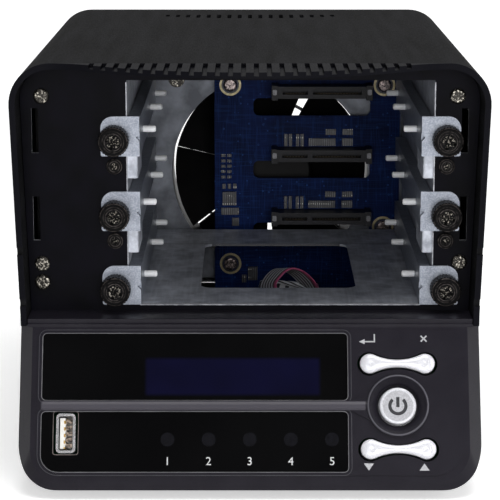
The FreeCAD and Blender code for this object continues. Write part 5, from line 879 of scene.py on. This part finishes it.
def ribbon_points(columns):
    """Points of the cable's upper skin, level by level, then of its lower skin."""
    upper, lower = [], []
    top = len(columns[0]) - 1
    last = len(columns) - 1
    for level in range(top + 1):
        for index, column in enumerate(columns):
            along = column[min(level + 1, top)] - column[max(level - 1, 0)]
            across = columns[min(index + 1, last)][level] - columns[max(index - 1, 0)][level]
            outward = along.cross(across).normalized()
            bulge = RIBBON_HALF * (0.2 + 0.8 * abs(math.sin(math.pi * index / SAMPLES)))
            upper.append(column[level] + outward * bulge)
            lower.append(column[level] - outward * bulge)
    return upper + lower


def ribbon_faces(levels, row):
    """Faces of both skins and the four edges, each with the number of its material."""
    plain, pink, crease_shade = 0, 1, 2
    faces = []
    below = levels * row
    for level in range(levels - 1):
        for index in range(row - 1):
            here = level * row + index
            under = here + below
            # strips at the sides of each conductor take the painted shade of the creases
            in_groove = index % SAMPLES in (0, SAMPLES - 1)
            kind = pink if index < SAMPLES else crease_shade if in_groove else plain
            faces.append(([here, here + 1, here + row + 1, here + row], kind))
            faces.append(([under, under + row, under + row + 1, under + 1], kind))
        near = level * row
        far = near + row - 1
        faces.append(([near, near + row, near + below + row, near + below], pink))
        faces.append(([far, far + below, far + below + row, far + row], plain))
    for index in range(row - 1):
        faces.append(([index, index + below, index + below + 1, index + 1], plain))
    for here in range(below - row, below - 1):
        faces.append(([here, here + 1, here + below + 1, here + below], plain))
    return faces


columns = [smooth_line(ribbon_route(index / (CONDUCTORS * SAMPLES)), RIBBON_STEPS)
           for index in range(CONDUCTORS * SAMPLES + 1)]
faces = ribbon_faces(len(columns[0]), len(columns))
ribbon = piece("ribbon_wires", ribbon_points(columns), [face for face, kind in faces],
               Matrix.Identity(4), looks["ribbon_grey"], smooth=True)
ribbon.data.materials.append(WIRE_PINK)
ribbon.data.materials.append(WIRE_GROOVE_SHADE)
for polygon, (face, kind) in zip(ribbon.data.polygons, faces):
    polygon.material_index = kind
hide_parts("ribbon_cable")


# ---- stage --------------------------------------------------------------------------------------
FLOOR_HALF = 12.0
FLOOR_DROP = 0.00005
# glow of the paper at two distances in metres from the object
GLOW_REACH = (0.5, 1.6)
GLOW = (0.52, 0.8)


def stage_material():
    """White paper that glows for the rays that look at it, and more so far out: it shows white
    behind the object, and still takes the object's shadow."""
    material = bpy.data.materials.new("paper_white")
    material.use_nodes = True
    nodes, links = material.node_tree.nodes, material.node_tree.links
    shader = nodes["Principled BSDF"]
    shader.inputs["Base Color"].default_value = (0.86, 0.86, 0.86, 1)
    shader.inputs["Roughness"].default_value = 0.9
    shader.inputs["Specular IOR Level"].default_value = 0.1
    shader.inputs["Emission Color"].default_value = (1, 1, 1, 1)

    def joined(operation, first, second, clamp=False):
        node = nodes.new("ShaderNodeMath")
        node.operation = operation
        node.use_clamp = clamp
        links.new(first, node.inputs[0])
        links.new(second, node.inputs[1])
        return node.outputs[0]

    rays = nodes.new("ShaderNodeLightPath").outputs
    seen = joined("ADD", rays["Is Camera Ray"], rays["Is Glossy Ray"])
    shown = joined("ADD", seen, rays["Is Transmission Ray"], clamp=True)
    reach = nodes.new("ShaderNodeVectorMath")
    reach.operation = "LENGTH"
    links.new(nodes.new("ShaderNodeTexCoord").outputs["Object"], reach.inputs[0])
    far = nodes.new("ShaderNodeMapRange")
    for name, entry in zip(("From Min", "From Max", "To Min", "To Max"), GLOW_REACH + GLOW):
        far.inputs[name].default_value = entry
    links.new(reach.outputs["Value"], far.inputs["Value"])
    links.new(joined("MULTIPLY", shown, far.outputs[0]), shader.inputs["Emission Strength"])
    return material


floor_mesh = bpy.data.meshes.new("floor")
floor_mesh.from_pydata([(x * FLOOR_HALF, y * FLOOR_HALF, -FLOOR_DROP)
                        for x, y in ((-1, -1), (1, -1), (1, 1), (-1, 1))], [], [(0, 1, 2, 3)])
floor_mesh.materials.append(stage_material())
floor = bpy.data.objects.new("floor", floor_mesh)
bpy.context.scene.collection.objects.link(floor)

WORLD_STRENGTH = 0.26
world = bpy.data.worlds.new("studio")
bpy.context.scene.world = world
world.use_nodes = True
background = world.node_tree.nodes["Background"]
background.inputs["Color"].default_value = (1, 1, 1, 1)
background.inputs["Strength"].default_value = WORLD_STRENGTH


def softbox(name, place, aim, size, power):
    """Rectangular lamp at a place in metres, turned to face another."""
    lamp = bpy.data.lights.new(name, "AREA")
    lamp.shape = "RECTANGLE"
    lamp.size, lamp.size_y = size
    lamp.energy = power
    thing = bpy.data.objects.new(name, lamp)
    thing.location = place
    thing.rotation_euler = (Vector(aim) - Vector(place)).to_track_quat("-Z", "Y").to_euler()
    bpy.context.scene.collection.objects.link(thing)


softbox("box_top", (0.15, -0.28, 1.3), (0, 0, 0.08), (0.8, 0.6), 9.5)
softbox("box_front", (0.15, -1.6, 0.3), (0, 0, 0.09), (1.2, 0.8), 12.0)
softbox("box_left", (-1.2, -0.7, 0.5), (0, -0.05, 0.08), (0.5, 0.9), 0.5)
softbox("box_backdrop", (0, 1.5, 0.9), (0, 1.45, 0), (2.4, 0.9), 2.6)
softbox("box_right", (1.2, -0.6, 0.5), (0, -0.05, 0.08), (0.5, 0.9), 5.5)

# camera as fitted to the photo
CAMERA_PLACE = (0.0, -0.8389, 0.2436)
CAMERA_PITCH = 11.82
lens = bpy.data.cameras.new("camera")
lens.lens = 151.9
lens.sensor_width = 36.0
camera = bpy.data.objects.new("camera", lens)
camera.location = CAMERA_PLACE
camera.rotation_euler = (math.radians(90 - CAMERA_PITCH), 0, 0)
bpy.context.scene.collection.objects.link(camera)
bpy.context.scene.camera = camera
bpy.context.scene.view_settings.view_transform = "Standard"
